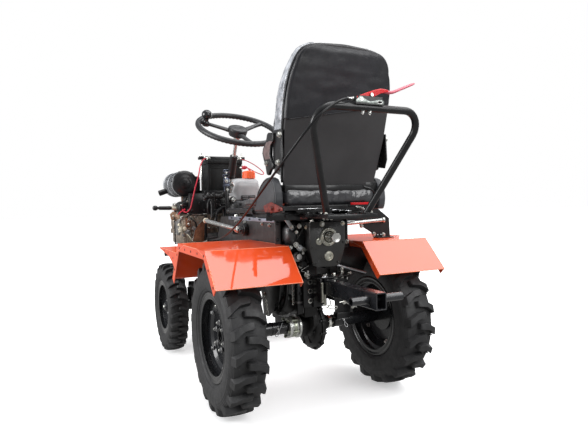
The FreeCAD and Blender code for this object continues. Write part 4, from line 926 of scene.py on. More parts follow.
# ------------------------------------------------------------------ battery and tray
def battery():
    g = G("battery_case", "chassis", ["dplastic", "grip", "zinc"], "dark_plastic")
    g.box(950, 1082, -82, 118, 831, 992, 0, 4)
    g.box(947.5, 1084.5, -84.5, 120.5, 992, 1013, 0, 3.5)
    g.box(957, 1075, -75, 111, 1012, 1019, 0, 3)
    # raised border and blank label field on the rear and side faces
    for (y0, y1, z0, z1) in ((-70, 106, 966, 970), (-70, 106, 842, 846), (-70, -66, 842, 970), (102, 106, 842, 970)):
        g.box(948.2, 951, y0, y1, z0, z1, 0, 0.9)
    for z in (976, 982, 988):
        g.box(948.4, 951, -78, 114, z - 1.4, z + 1.4, 0, 0.8)
    for i in range(9):
        y = -60 + i * 19.5
        g.box(946.6, 949, y - 5, y + 5, 994.5, 1010.5, 0, 1.0)
    for x in (960, 984, 1008, 1032, 1056):
        for y0, y1 in ((116.8, 119.4), (-83.4, -80.8)):
            g.box(x, x + 14, y0, y1, 840, 972, 0, 1.0)
    # vent caps and posts
    for i in range(6):
        g.cyl((1058, -58 + i * 31, 1017), (1058, -58 + i * 31, 1023), 9, 20, 0)
        g.box(1050, 1066, -59.3 + i * 31, -56.7 + i * 31, 1022.5, 1025, 0, 0.6)
    for y in (104, -68):
        g.lathe([(0, 11), (3, 11), (3.6, 8.6), (17, 7.6), (18, 6.8)], (986, y, 1016), (0, 0, 1), 24, 2)
        # terminal clamp
        g.ring((986, y, 1021), (986, y, 1031), 12.5, 8.2, 24, 2)
        q = 1 if y > 0 else -1
        g.box(979, 993, min(y + q * 9, y + q * 26), max(y + q * 9, y + q * 26), 1022, 1030, 2, 1)
        g.hexb((986, y + q * 19, 1030), (0, 0, 1), 8, 5, 2)
    ob = g.make(sharp=35)
    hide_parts("battery")

    g = G("battery_hold_down", "chassis", ["black", "zinc", "panel", "cast"], "black_paint")
    # angle across the top, J bolts with nuts
    g.prism([(1004, 0, 1019.5), (1030, 0, 1019.5), (1030, 0, 1034), (1027.5, 0, 1034), (1027.5, 0, 1022.3), (1004, 0, 1022.3)], (0, 272, 0), 0, 0.6, Matrix.Translation((0, -121, 0)))
    g.prism([(1004, 0, 1019.5), (1004, 0, 1038), (1006.8, 0, 1038), (1006.8, 0, 1019.5)], (0, 272, 0), 0, 0.6, Matrix.Translation((0, -121, 0)))
    for y in (136, -105.5):
        g.tube([(1016, y, 832), (1016, y, 900), (1016, y, 1057)], 3.3, 10, 1, round_=1)
        g.hexb((1016, y, 1022.2), (0, 0, 1), 12, 8, 1)
        g.hexb((1016, y, 1032), (0, 0, 1), 13, 8, 1)
        g.cyl((1016, y, 1036), (1016, y, 1058), 3.3, 10, 1)
    # tray with lips
    g.box(938, 1100, -106, 146, 824, 828, 2, 1)
    for y in (-104, 143):
        g.box(940, 1098, y - 2, y + 2, 824, 846, 2, 1)
    g.box(938.2, 942, -104, 143, 824, 842, 2, 1)
    g.box(938, 944, -96, 138, 742, 825, 2, 1.2)
    # tall black sheet beside the battery with folded lips
    g.box(898, 901, 140, 236, 716, 829, 2, 0.8)
    g.box(898, 942, 150, 153.2, 716, 829, 2, 0.8)
    g.box(898, 942, 232.8, 236, 716, 829, 2, 0.8)
    g.box(898, 942, 150, 236, 826, 829, 2, 0.8)
    # black canister behind the sheet, with a ribbed band and lid
    g.lathe([(0, 0.1), (0, 30), (3, 33), (12, 34), (14, 36.5), (18, 36.5), (20, 34), (70, 34), (72, 36), (78, 36), (80, 34), (92, 32.5), (96, 28), (97.5, 10), (97.5, 0.1)], (1032, 178, 829), (0, 0, 1), 48, 2)
    for k in range(24):
        a = 2 * math.pi * k / 24
        g.box(1032 + 34 * math.cos(a) - 1.2, 1032 + 34 * math.cos(a) + 1.2, 178 + 34 * math.sin(a) - 1.2, 178 + 34 * math.sin(a) + 1.2, 852, 896, 2, 0.4)
    g.hexb((1032, 178, 926), (0, 0, 1), 12, 6, 1)
    g.box(893, 901, 112, 240, 713.2, 716.2, 1, 0.6)
    g.box(897, 901, 96, 150, 716, 822, 2, 0.8)
    for z in (735, 812):
        for y in (160, 226):
            g.hexb((897.8, y, z), (-1, 0, 0), 9, 5, 0)
    g.hexb((897.8, 185, 774), (-1, 0, 0), 9, 5, 0)
    # shelf struts down to the engine
    g.box(942, 1100, 130, 150.5, 820, 824.2, 2, 1)
    for x in (960, 1080):
        g.box(x, x + 4, 110, 140, 716, 822, 2, 1)
    ob = g.make(sharp=35)
    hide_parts("battery_frame")


battery()


# ------------------------------------------------------------------ fuel tank
def tank():
    g = G("fuel_tank_shell", "chassis", ["tank", "tankdark", "panel", "deep_black_hole_shade"], "grey_plastic")
    # superellipse sections
    def sec(z, inset):
        x0, x1, y0, y1 = 812 + inset, 929 - inset * 0.6, -141 + inset * 0.8, 18 - inset
        r = 30
        pts = []
        for cx, cy, a0 in ((x1 - r, y1 - r, 0), (x0 + r, y1 - r, 90), (x0 + r, y0 + r, 180), (x1 - r, y0 + r, 270)):
            for k in range(7):
                a = math.radians(a0 + 15 * k)
                pts.append((cx + r * math.cos(a), cy + r * math.sin(a), z))
        return pts
    zs = [(783.4, 17), (784.4, 13), (788, 8.6), (795, 5.8), (806, 4.0), (828, 2.0), (851, 0.6), (862, 0.2), (872, 0.8), (882, 3.2), (890, 7.0), (897, 12.5), (902, 19.5), (905.4, 28), (907.2, 37), (907.8, 46)]
    g.loft([sec(z, i) for z, i in zs], 0)
    # recessed panel with dark slots and strap: the recess is not cut, its shade is painted as a near-black plate with
    # dark grey slots standing proud of the shell
    g.box(809.8, 813, -104, -24, 789, 813, 2, 1.2)
    for y0, y1 in ((-62, -28), (-100, -68)):
        g.box(808.6, 811, y0, y1, 801.5, 810, 1, 1)
        g.box(808.6, 811, y0, y1, 791.5, 798.5, 1, 1)
    # cradle
    g.box(808, 926, -124, 6, 747, 783, 1, 5)
    g.box(800, 932, -140, 10, 740, 748, 2, 2)
    for y in (-90, -16):
        g.hexb((805.6, y, 766), (-1, 0, 0), 10, 5, 2)
    ob = g.make(sharp=35)
    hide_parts("fuel_tank")
    g = G("fuel_cap", "chassis", ["cap"], "grey_plastic")
    c = Vector((866, -90, 903))
    n = 48
    prof = [(0, 27), (2, 30), (5, 36), (8, 36.5), (34, 35.5), (40, 34), (43.5, 30), (45, 22), (45.4, 8), (45.4, 1)]
    rings = []
    for t, r in prof:
        row = []
        for j in range(n * 2):
            rr = r - (1.3 if (j % 4) in (0, 1) and 6 < t < 36 else 0)
            a = math.pi * j / n
            row.append(c + Vector((rr * math.cos(a), rr * math.sin(a), t)))
        rings.append(row)
    g.loft(rings, 0)
    g.box(c.x - 27, c.x + 27, c.y - 4, c.y + 4, 946, 951, 0, 1.6)
    g.make(sharp=35)


# near-black discs, rings and plates standing for the shade inside holes, bores and slots: painted shade; also plain
# deep black on one wire and one bolt by the gearbox
M["deep_black_hole_shade"] = mat("deep_black_painted_hole_shade", (0.006, 0.006, 0.006), 0.6, spec=0.2, vary=0.2, scale=90)
tank()
g = G("lead_boot", "chassis", ["redrub", "zinc"], "red_rubber")
g.lathe([(0, 5), (1, 8.6), (9, 10), (20, 9), (27, 6.5), (30, 4.2), (30, 0.1)], (866, -51, 966), (0, -1, 0.1), 24, 0)
g.lathe([(0, 9.6), (4, 10.8), (8, 9.6)], (866, -62, 967), (0, -1, 0.1), 24, 0)
g.box(862, 870, -50, -36, 961, 971, 1, 1)
g.tube([(866, -80, 969), (878, -92, 962), (894, -112, 950), (903, -134, 944)], 2.6, 10, 0)
g.make(sharp=50)


# ------------------------------------------------------------------ muffler
def muffler():
    g = G("muffler_guard", "chassis", ["guard", "deep_black_hole_shade", "black"], "chrome")
    ax = Vector((1, 0, 0))
    c = Vector((1000, 235, 884))
    g.lathe([(6, 66), (6, 71.2), (8, 71.9), (11, 71.2), (14, 69.8), (221, 69.8), (224, 71.2), (227, 71.9), (229, 71.2), (229, 66)], c, ax, 96, 0, closed=True)
    # rows of perforations: flat near-black dimples painting the shade inside the holes
    for i in range(16):
        x = 1026 + i * 12.2
        for j in range(40):
            a = 2 * math.pi * (j + (0.5 if i % 2 else 0)) / 40
            d = Vector((0, math.cos(a), math.sin(a)))
            g.lathe([(0, 4.4), (0.9, 4.2), (0.9, 0.1)], Vector((x, 235, 884)) + d * 69.6, d, 8, 1)
    # straps and end rings
    for x in (1012, 1118, 1222):
        g.ring((x - 5, 235, 884), (x + 5, 235, 884), 71.4, 69, 64, 0)
    ob = g.make(sharp=40)
    g = G("muffler_body", "chassis", ["black", "deep_black_hole_shade", "rust"], "black_paint")
    g.lathe([(-13.5, 0.1), (-13, 18), (-11.8, 36), (-9.2, 52), (-5.6, 62), (-1.5, 68), (1.5, 71), (4.5, 72), (7, 71.2), (7, 66), (231, 66), (231, 71), (234, 71.6), (236, 66), (239, 48), (241, 20), (241.5, 0.1)], c, ax, 72, 0)
    g.lathe([(-13.2, 28), (-12.4, 29.5), (-11.2, 31)], c, ax, 48, 0)
    for a in (65, 10, 125):
        d = Vector((0, math.cos(math.radians(a)), math.sin(math.radians(a))))
        g.cyl(c + d * 70 + ax * 6, c + d * 75 + ax * 6, 4, 10, 0)
    g.ring((1200, 284, 853), (1200, 338, 835), 16, 13.2, 32, 0)
    # near-black core inside the outlet ring: painted shade of the pipe bore
    g.cyl((1200, 283, 853.4), (1200, 330, 837.8), 13.1, 24, 1)
    g.tube([(1120, 209, 717), (1120, 209, 760), (1120, 211, 824)], 19.5, 24, 2)
    g.ring((1120, 209, 716.6), (1120, 209, 724), 33, 19, 32, 2)
    ob2 = g.make(sharp=40)
    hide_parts("muffler")


M["guard"] = mat("polished_guard", (0.62, 0.64, 0.67), 0.34, metal=0.5, vary=0.10, scale=30, rvary=0.06)
M["rust"] = mat("hot_pipe", (0.10, 0.055, 0.035), 0.55, metal=0.6, vary=0.5, scale=70, bump=0.4, bscale=300)
muffler()


# ------------------------------------------------------------------ engine
def engine():
    g = G("crankcase", "chassis", ["alloy", "alloygrey", "cast", "zinc"], "cast_alloy")
    g.box(912, 1163, -92, 276, 604, 714, 0, 14)
    g.box(915, 1162, -92, 142, 502, 636, 1, 10)
    g.box(915, 1160, 156, 276, 550, 650, 0, 10)
    # rear face: ribs, bosses, parting flange
    for y in (262, 232, 205, 120, 84, 40, -4, -48):
        g.box(906.2, 916, y - 3.2, y + 3.2, 612, 706, 0, 1.6)
    for z in (642, 676):
        g.box(906.8, 915, -84, 268, z - 2.6, z + 2.6, 0, 1.4)
    g.box(906, 1164, -94.5, 280, 635, 641, 0, 2)
    for y in (250, 190, 160):
        g.box(908.4, 918, y - 3, y + 3, 556, 640, 0, 1.5)
    g.box(908, 918, 162, 272, 588, 594, 0, 1.5)
    for i in range(9):
        y = -80 + i * 42
        g.hexb((905.8 + 3.2, y, 638), (-1, 0, 0), 9, 5, 3, kw=3)
    for i in range(7):
        x = 922 + i * 38
        g.hexb((x, 277, 626), (0, 1, 0), 10, 6, 3)
        g.hexb((x, 277, 700), (0, 1, 0), 10, 6, 3)
    # left cover: a round gear case with bolts
    g.lathe([(0, 62), (6, 62), (9, 59), (10, 50), (12, 46), (14, 20), (14, 1)], (1010, 276, 662), (0, 1, 0), 56, 1)
    for k in range(8):
        a = math.radians(45 * k + 10)
        g.hexb((1010 + 55 * math.cos(a), 284, 662 + 55 * math.sin(a)), (0, 1, 0), 8, 5, 3)
    g.lathe([(0, 36), (8, 36), (11, 33), (13, 20), (13, 1)], (1110, 276, 664), (0, 1, 0), 40, 0)
    g.box(1060, 1150, 276, 290, 606, 632, 0, 5)
    # sump flange and drain plug
    g.box(908, 1164, -94.5, 144.2, 556, 562, 1, 1.6)
    g.hexb((914, 30, 522), (-1, 0, 0), 19, 9, 3)
    for i in range(6):
        g.hexb((914, -76 + i * 40, 572), (-1, 0, 0), 9, 5, 3)
    # cylinder barrel with cooling fins and head
    g.box(972, 1163, -112, 102, 700, 812, 2, 8)
    for i in range(9):
        z = 722 + i * 9.4
        g.box(960.5, 1174.5, -119.5, 109.5, z - 1.5, z + 1.5, 1, 1.1)
    g.box(966, 1170, -114, 104, 806, 821.5, 0, 5)
    for x in (982, 1154):
        for y in (-98, 88):
            g.hexb((x, y, 821), (0, 0, 1), 13, 0.6 + 7, 3, washer=False)
    # fan housing drum
    g.lathe([(-2, 100), (0, 103.6), (28, 103.6), (38, 103.6), (39.4, 102)], (1040, -94.5, 716), (0, -1, 0), 72, 2)
    ob = g.make(sharp=36)
    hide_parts("engine_block")

    # fuel pump, filters, pipes and brackets on the rear left corner
    g = G("engine_fittings", "chassis", ["cream", "copper", "zinc", "cast", "alloy", "tanrust", "panel", "redrub", "alloygrey", "deep_black_hole_shade"], "cast_alloy")
    # cream pump body with a banjo and two small tubes
    g.lathe([(0, 9), (3, 11.5), (16, 11.5), (19, 9), (24, 9), (25, 6), (32, 6)], (893, 292, 622), (0, 0.05, 1), 20, 0)
    g.lathe([(0, 7), (2, 9.5), (10, 9.5), (12, 7)], (893, 292, 636), (-1, 0.4, 0.2), 18, 0)
    g.hexb((890, 272, 640), (-1, 0.1, 0), 15, 8, 0)
    g.cyl((896, 270, 640), (910, 268, 640), 9, 18, 4)
    g.hexb((893, 300, 660), (-0.4, 0.2, 1), 12, 7, 0)
    g.tube([(893, 298, 664), (888, 300, 690), (894, 284, 706), (906, 262, 700)], 2.8, 8, 2)
    # copper coloured block
    g.box(888, 910, 236, 262, 648, 696, 1, 4)
    g.cyl((880, 249, 688), (890, 249, 688), 8, 18, 2)
    g.hexb((888, 249, 664), (-1, 0, 0), 11, 6, 2)
    # tan bracket and pulley cheek above the corner
    g.prism([(1000, 284, 676), (1000, 318, 688), (1000, 322, 716), (1000, 306, 732), (1000, 284, 728)], (12, 0, 0), 5, 2.0)
    g.box(908, 1002, 290, 298, 690, 716, 5, 3)
    g.hexb((999, 304, 706), (-1, 0, 0), 11, 6, 2)
    # brown gusset plate with its bright edge
    g.prism([(893, 160, 691), (893, 214, 644), (893, 230, 572), (893, 166, 566)], (7, 0, 0), 1, 1.2)
    g.tube([(892.6, 161, 691), (892.6, 187, 668), (892.6, 213.5, 645), (892.6, 222, 608), (892.6, 229.5, 574)], 1.9, 8, 2, round_=1)
    g.box(889, 896, 150, 161, 566, 706, 6, 1.5)
    # front stay seen as a dark upright at the outer edge
    g.box(936, 944, 309, 315, 556, 700, 6, 1.2)
    g.box(936, 944, 276, 315, 556, 561, 6, 1.2)
    g.box(936, 944, 276, 315, 696, 700, 6, 1.2)
    # small clutter: bolts, unions, short hoses
    for (x, y, z, d, k) in ((900, 206, 702, 10, 2), (900, 226, 616, 12, 4), (898, 276, 606, 11, 8), (900, 244, 610, 13, 8), (900, 190, 640, 9, 2), (900, 184, 606, 10, 2), (902, 282, 690, 10, 2), (900, 300, 640, 9, 2)):
        g.hexb((906, y, z), (-1, 0, 0), d, 7, k, turn=y * 0.1)
    g.cyl((884, 222, 640), (910, 222, 640), 11, 20, 8)
    g.lathe([(0, 12), (12, 13), (14, 11), (22, 11), (24, 8)], (908, 256, 622), (-1, 0, 0), 24, 8)
    g.tube([(896, 240, 700), (882, 232, 690), (880, 214, 672), (890, 206, 650), (906, 206, 640)], 4.2, 10, 3)
    g.tube([(896, 262, 616), (884, 250, 600), (890, 236, 580), (908, 228, 572)], 3.0, 10, 0)
    g.tube([(884, 262, 700), (878, 244, 716), (886, 214, 722), (902, 190, 716)], 3.4, 10, 9)
    g.tube([(905, 300, 716), (890, 292, 730), (900, 262, 742), (940, 258, 744)], 3.0, 10, 7)
    ob = g.make(sharp=36)

    # starter and ball lever
    g = G("starter_body", "chassis", ["cast", "zinc", "panel", "deep_black_hole_shade"], "black_paint")
    g.lathe([(0, 0.1), (0, 12), (-6, 12), (-6, 13), (0, 14), (1, 28), (4, 31), (14, 33.5), (20, 34), (22, 32.4), (26, 32.4), (28, 34), (92, 34), (96, 31), (110, 30), (114, 26), (115, 0.1)], (960, 250, 752), (1, 0, 0), 48, 0)
    g.lathe([(0, 18), (3, 20), (52, 20), (56, 17), (60, 8), (60, 0.1)], (972, 226, 794), (1, 0, 0), 32, 0)
    for a in (40, 220):
        p = Vector((958, 250 + 22 * math.cos(math.radians(a)), 752 + 22 * math.sin(math.radians(a))))
        g.hexb(p, (-1, 0, 0), 9, 6, 1)
    g.hexb((970, 222, 800), (-1, 0, 0), 10, 8, 1)
    g.hexb((970, 230, 786), (-1, 0, 0), 9, 6, 1)
    g.box(964, 1060, 236, 262, 716, 724, 0, 3)
    ob = g.make(sharp=36)
    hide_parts("starter_motor")
    g = G("throttle_handle", "chassis", ["black", "cream", "zinc"], "black_paint")
    a, b = Vector((1010, 400, 752)), Vector((1010, 290, 750))
    d = (a - b).normalized()
    g.lathe([(-14, 0.1), (-13, 6), (-9, 11.4), (0, 14), (7, 12.6), (12, 9), (14, 7.2), (18, 7.2), (20, 8.6), (24, 10.4), (80, 10.8), (84, 10.2), (86, 8), (96, 8)], a, -d, 32, 0)
    g.lathe([(0, 9), (1, 12), (20, 13), (26, 12), (28, 9)], b + d * 22, -d, 24, 1)
    g.prism([(1000, 279, 733), (1000, 307, 738), (1000, 306, 774), (1000, 292, 779), (1000, 280, 766)], (7, 0, 0), 2, 1.5)
    g.hexb((999, 290, 768), (-1, 0, 0), 9, 5, 2)
    g.box(1002, 1018, 286, 298, 704, 744, 0, 2)
    ob = g.make(sharp=40)
    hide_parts("throttle_lever")

    # fan cover: pressed cowl with a round grille and recoil handle
    g = G("fan_cowl", "chassis", ["panel", "grille", "zinc", "black", "deep_black_hole_shade"], "black_paint")
    c, ax = Vector((1040, -134.4, 716)), Vector((0, -1, 0))
    g.lathe([(0, 96), (0, 109.4), (3, 110), (20, 108), (27, 103), (31, 94), (32.5, 84), (30, 82), (26, 82), (24, 60), (24, 0.1)], c, ax, 80, 0)
    for k in range(1, 6):
        g.ring(c + ax * 27, c + ax * 30, 14 * k + 8, 14 * k + 4.6, 56, 1)
    for k in range(12):
        a = math.radians(30 * k)
        p0 = c + ax * 28.5 + Vector((math.cos(a), 0, math.sin(a))) * 10
        p1 = c + ax * 28.5 + Vector((math.cos(a), 0, math.sin(a))) * 84
        g.cyl(p0, p1, 1.7, 8, 1)
    g.lathe([(24, 18), (34, 18), (37, 15), (37.4, 1)], c, ax, 32, 3)
    for k in range(4):
        a = math.radians(90 * k + 45)
        g.hexb(c + ax * 27 + Vector((math.cos(a), 0, math.sin(a))) * 97, ax, 10, 6, 2)
    # pull handle
    hb_ = c + ax * 29 + Vector((-70, 0, 62))
    g.tube([hb_ + Vector((-16, 0, -8)), hb_ + Vector((0, -5, 0)), hb_ + Vector((16, 0, 8))], 6, 14, 3)
    ob = g.make(sharp=36)
    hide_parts("fan_cover")


M["tanrust"] = mat("tan_bracket", (0.42, 0.26, 0.17), 0.5, metal=0.4, vary=0.4, scale=60, bump=0.5, bscale=300, edge=0.001)
engine()


# ------------------------------------------------------------------ valve bar, levers and shafts ahead of the seat
def midfront():
    g = G("valve_bar", "chassis", ["black", "zinc", "cast", "bluesteel", "cream", "knob", "alloygrey"], "black_paint")
    # lumpy cross bar with a post
    g.tube([(790, 60, 812), (790, 90, 810), (790, 120, 808), (790, 150, 808), (790, 178, 808), (790, 186, 800), (790, 187, 786)], lambda t: 9.5 + 1.5 * math.sin(t * 26), 18, 0)
    for y in (70, 98, 126, 154, 174):
        g.ring((790, y - 6, 809), (790, y + 6, 809), 13.5, 8, 24, 2)
    for y in (84, 140, 166):
        g.hexb((790, y, 819), (0, 0, 1), 12, 8, 0)
        g.hexb((778.5, y, 809), (-1, 0, 0), 10, 6, 2)
    g.tube([(790, 149, 802), (790, 149, 760), (790, 149, 694)], 7.0, 16, 0)
    g.ring((790, 149, 770), (790, 149, 784), 10.5, 6, 24, 2)
    g.ring((790, 149, 700), (790, 149, 714), 10.5, 6, 24, 2)
    # curved foot lever
    g.tube([(790, 130, 680), (790, 128, 708), (790, 118, 730), (790, 100, 745), (790, 74, 752), (790, 62, 750)], 8.4, 16, 0, flat=None)
    g.cyl((790, 52, 749), (790, 70, 752), 11, 20, 2)
    g.tube([(788, 112, 764), (786, 96, 752), (786, 84, 728), (786, 86, 704)], 4.5, 12, 0)
    # washers and small links near the joint
    g.lathe([(0, 15), (3, 16), (5, 15), (6, 9), (12, 8.5), (12.5, 1)], (779, 52, 793), (-1, 0, 0), 28, 6)
    g.box(776, 786, 56, 84, 832, 858, 3, 3)
    g.box(772, 780, 62, 76, 848, 872, 0, 3)
    g.hexb((771, 70, 862), (-1, 0, 0), 11, 6, 3)
    g.tube([(776, 60, 854), (772, 78, 842), (780, 80, 818)], 4.6, 12, 2)
    g.cyl((778, 54, 786), (770, 54, 786), 9, 22, 2)
    # dark clutter between the battery and the rails
    g.box(842, 880, -60, 132, 716, 742, 0, 4)
    g.box(850, 892, 20, 118, 742, 812, 2, 6)
    g.box(846, 858, 30, 108, 760, 772, 0, 2)
    g.cyl((846, 96, 790), (838, 96, 790), 12, 24, 0)
    g.cyl((846, 42, 758), (836, 42, 758), 14, 24, 2)
    g.tube([(868, 118, 800), (850, 150, 790), (840, 158, 750), (850, 150, 716)], 6, 12, 0)
    g.tube([(868, 100, 742), (836, 110, 724), (820, 132, 716)], 5, 12, 0)
    g.make(sharp=38)

    g = G("control_rods", "chassis", ["steel", "cream", "cast", "zinc", "black"], "steel")
    # bright tube from the fender side to the bush on the rail
    a, b = Vector((600, 240.5, 690.4)), Vector((330, 166, 653))
    d = (b - a).normalized()
    g.ring(a, b, 9.6, 7.6, 28, 0)
    g.lathe([(0, 7.6), (0, 11.5), (2, 12.6), (10, 12.6), (12, 10), (12, 7.6)], a - d * 5, d, 28, 1, closed=True)
    g.cyl(a - d * 1, a + d * 8, 7.4, 20, 4)
    g.lathe([(0, 9.6), (1, 15), (10, 16), (14, 12), (20, 12), (22, 17), (34, 17), (36, 9.6)], b - d * 26, d, 28, 3, closed=True)
    # dark bush on the rail
    g.cyl((284, 150.4, 656), (284, 172, 656), 27, 36, 2, 2.5)
    g.cyl((284, 171, 656), (284, 177, 656), 18, 32, 4, 1.5)
    g.hexb((284, 176, 656), (0, 1, 0), 17, 7, 4)
    # cross rod on the right
    a, b = Vector((-35.2, -80, 678)), Vector((-35.2, -348, 690))
    g.cyl(a, b, 8, 24, 0, 1.0)
    g.ring(b + Vector((0, 12, -0.6)), b + Vector((0, 2, 0)), 11.5, 7.8, 24, 3)
    g.ring(a + Vector((0, -6, 0)), a + Vector((0, -16, 0.6)), 11.5, 7.8, 24, 3)
    # clutch rod
    g.tube([(706.3, 195, 588), (800, 198, 571), (904, 202, 552)], 2.9, 10, 0)
    g.cyl((716, 195.3, 586.2), (742, 196.2, 581.5), 5, 16, 3)
    ob = g.make(sharp=38)
    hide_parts("control_shafts")


midfront()


# ------------------------------------------------------------------ lever on the grab bar
def lever():
    g = G("clutch_hand_lever", "chassis", ["red", "redpale", "zinc", "deep_black_hole_shade"], "red_paint")
    # pressed channel: top skin and two side walls
    top = [(61, 1097), (40, 1105), (14, 1115), (-10, 1123), (-31, 1128.5), (-48, 1128.8), (-61, 1127)]
    sec = []
    for i, (y, z) in enumerate(top):
        w = 10.8 - 2.0 * i / 6
        d = [9, 17, 22, 20, 15, 11, 8][i]
        sec.append([(-446 - w, y, z - d), (-446 - w, y, z - 2.5), (-446 - w + 2.5, y, z), (-446 + w - 2.5, y, z), (-446 + w, y, z - 2.5), (-446 + w, y, z - d), (-446 + w - 1.6, y, z - d), (-446 + w - 1.6, y, z - 3), (-446 - w + 1.6, y, z - 3), (-446 - w + 1.6, y, z - d)])
    g.loft(sec, 0)
    # flat handle in a pale sleeve with a rolled tip
    hp = [(-52, 1124), (-61, 1121.5), (-72, 1120.5), (-84, 1122.5), (-100, 1128), (-120, 1136.5), (-142, 1145.5), (-160, 1152.5), (-170, 1156.5)]
    secs = []
    for i, (y, z) in enumerate(hp):
        w = [8.4, 8.8, 8.8, 9.0, 9.6, 10.0, 10.0, 9.4, 7.2][i]
        h = [4.2, 5.2, 5.6, 5.6, 5.4, 5.2, 5.0, 4.8, 3.4][i]
        secs.append([(-446 + w * math.cos(a) * (1 if abs(math.cos(a)) < 0.7 else 1.0), y, z + h * math.sin(a)) for a in [2 * math.pi * k / 16 for k in range(16)]])
    g.loft(secs, 1)
    # pivots
    for y, z in ((6.5, 1105), (46, 1088)):
        g.cyl((-458.5, y, z), (-433.5, y, z), 4.2, 18, 2)
        g.cyl((-463.5, y, z), (-458, y, z), 6.4, 20, 2, 1.5)
    ob = g.make(sharp=40)
    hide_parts("hand_lever")
    # slotted side plates, tooth, barrel and ferrule
    M["levmetal"] = mat("bracket_zinc", (0.30, 0.33, 0.31), 0.38, metal=0.8, vary=0.5, scale=60, rvary=0.15, bump=0.4, bscale=500)
    g = G("lever_bracket", "chassis", ["levmetal", "steel", "deep_black_hole_shade", "black", "olive"], "steel")
    for x in (-462.4, -433.0):
        out_ = [(66, 1079), (66, 1086), (54, 1096), (44, 1098), (36, 1092), (18, 1084), (8, 1084), (-2, 1086), (-14, 1090), (-26, 1091), (-36, 1088), (-39.5, 1082), (-38, 1077), (-30, 1075)]
        g.prism([(x, y, z) for y, z in out_], (2.4, 0, 0), 0, 0.5)
        # oval slot: a flat near-black plate painting the recess's shade, with a rim
        xs = x - 0.2 if x < -446 else x + 2.4
        g.tube([(xs + (0.0 if x < -446 else 0.2), -22 + 9 * math.cos(a), 1082.5 + 4.4 * math.sin(a)) for a in [2 * math.pi * k / 14 for k in range(14)]], 1.1, 6, 1, closed=True, round_=1)
        g.prism([(xs - 0.35, -22 + 7.6 * math.cos(a), 1082.5 + 3.3 * math.sin(a)) for a in [2 * math.pi * k / 18 for k in range(18)]], (0.5, 0, 0), 2)
    g.prism([(-459.6, 22, 1084), (-459.6, 14, 1097), (-459.6, 6, 1103), (-459.6, -3, 1098), (-459.6, -12, 1086)], (2.2, 0, 0), 0, 0.5)
    for k in range(4):
        g.box(-459, -436, 6 - 5 * k - 1.2, 6 - 5 * k + 1.2, 1081, 1093 - k, 4, 0.6)
    # cable ferrule and adjuster
    for p0, p1, r in (((-446, 65.5, 1091), (-446.2, 72, 1090.9), 6.6), ((-446.2, 72, 1090.9), (-446.4, 78, 1090.7), 5.2), ((-446.4, 77, 1090.7), (-449.5, 92, 1089.3), 4.6)):
        g.cyl(p0, p1, r, 18, 1)
    g.hexb((-446, 66, 1091), (0, 1, 0), 12, 5, 0, washer=False)
    # bolts under the tube
    for y in (36, 10):
        g.hexb((-452, y, 1053.6), (0, 0, -1), 9, 6, 1)
        g.cyl((-452, y, 1052), (-452, y, 1043), 3, 12, 1)
    g.make(sharp=40)


lever()


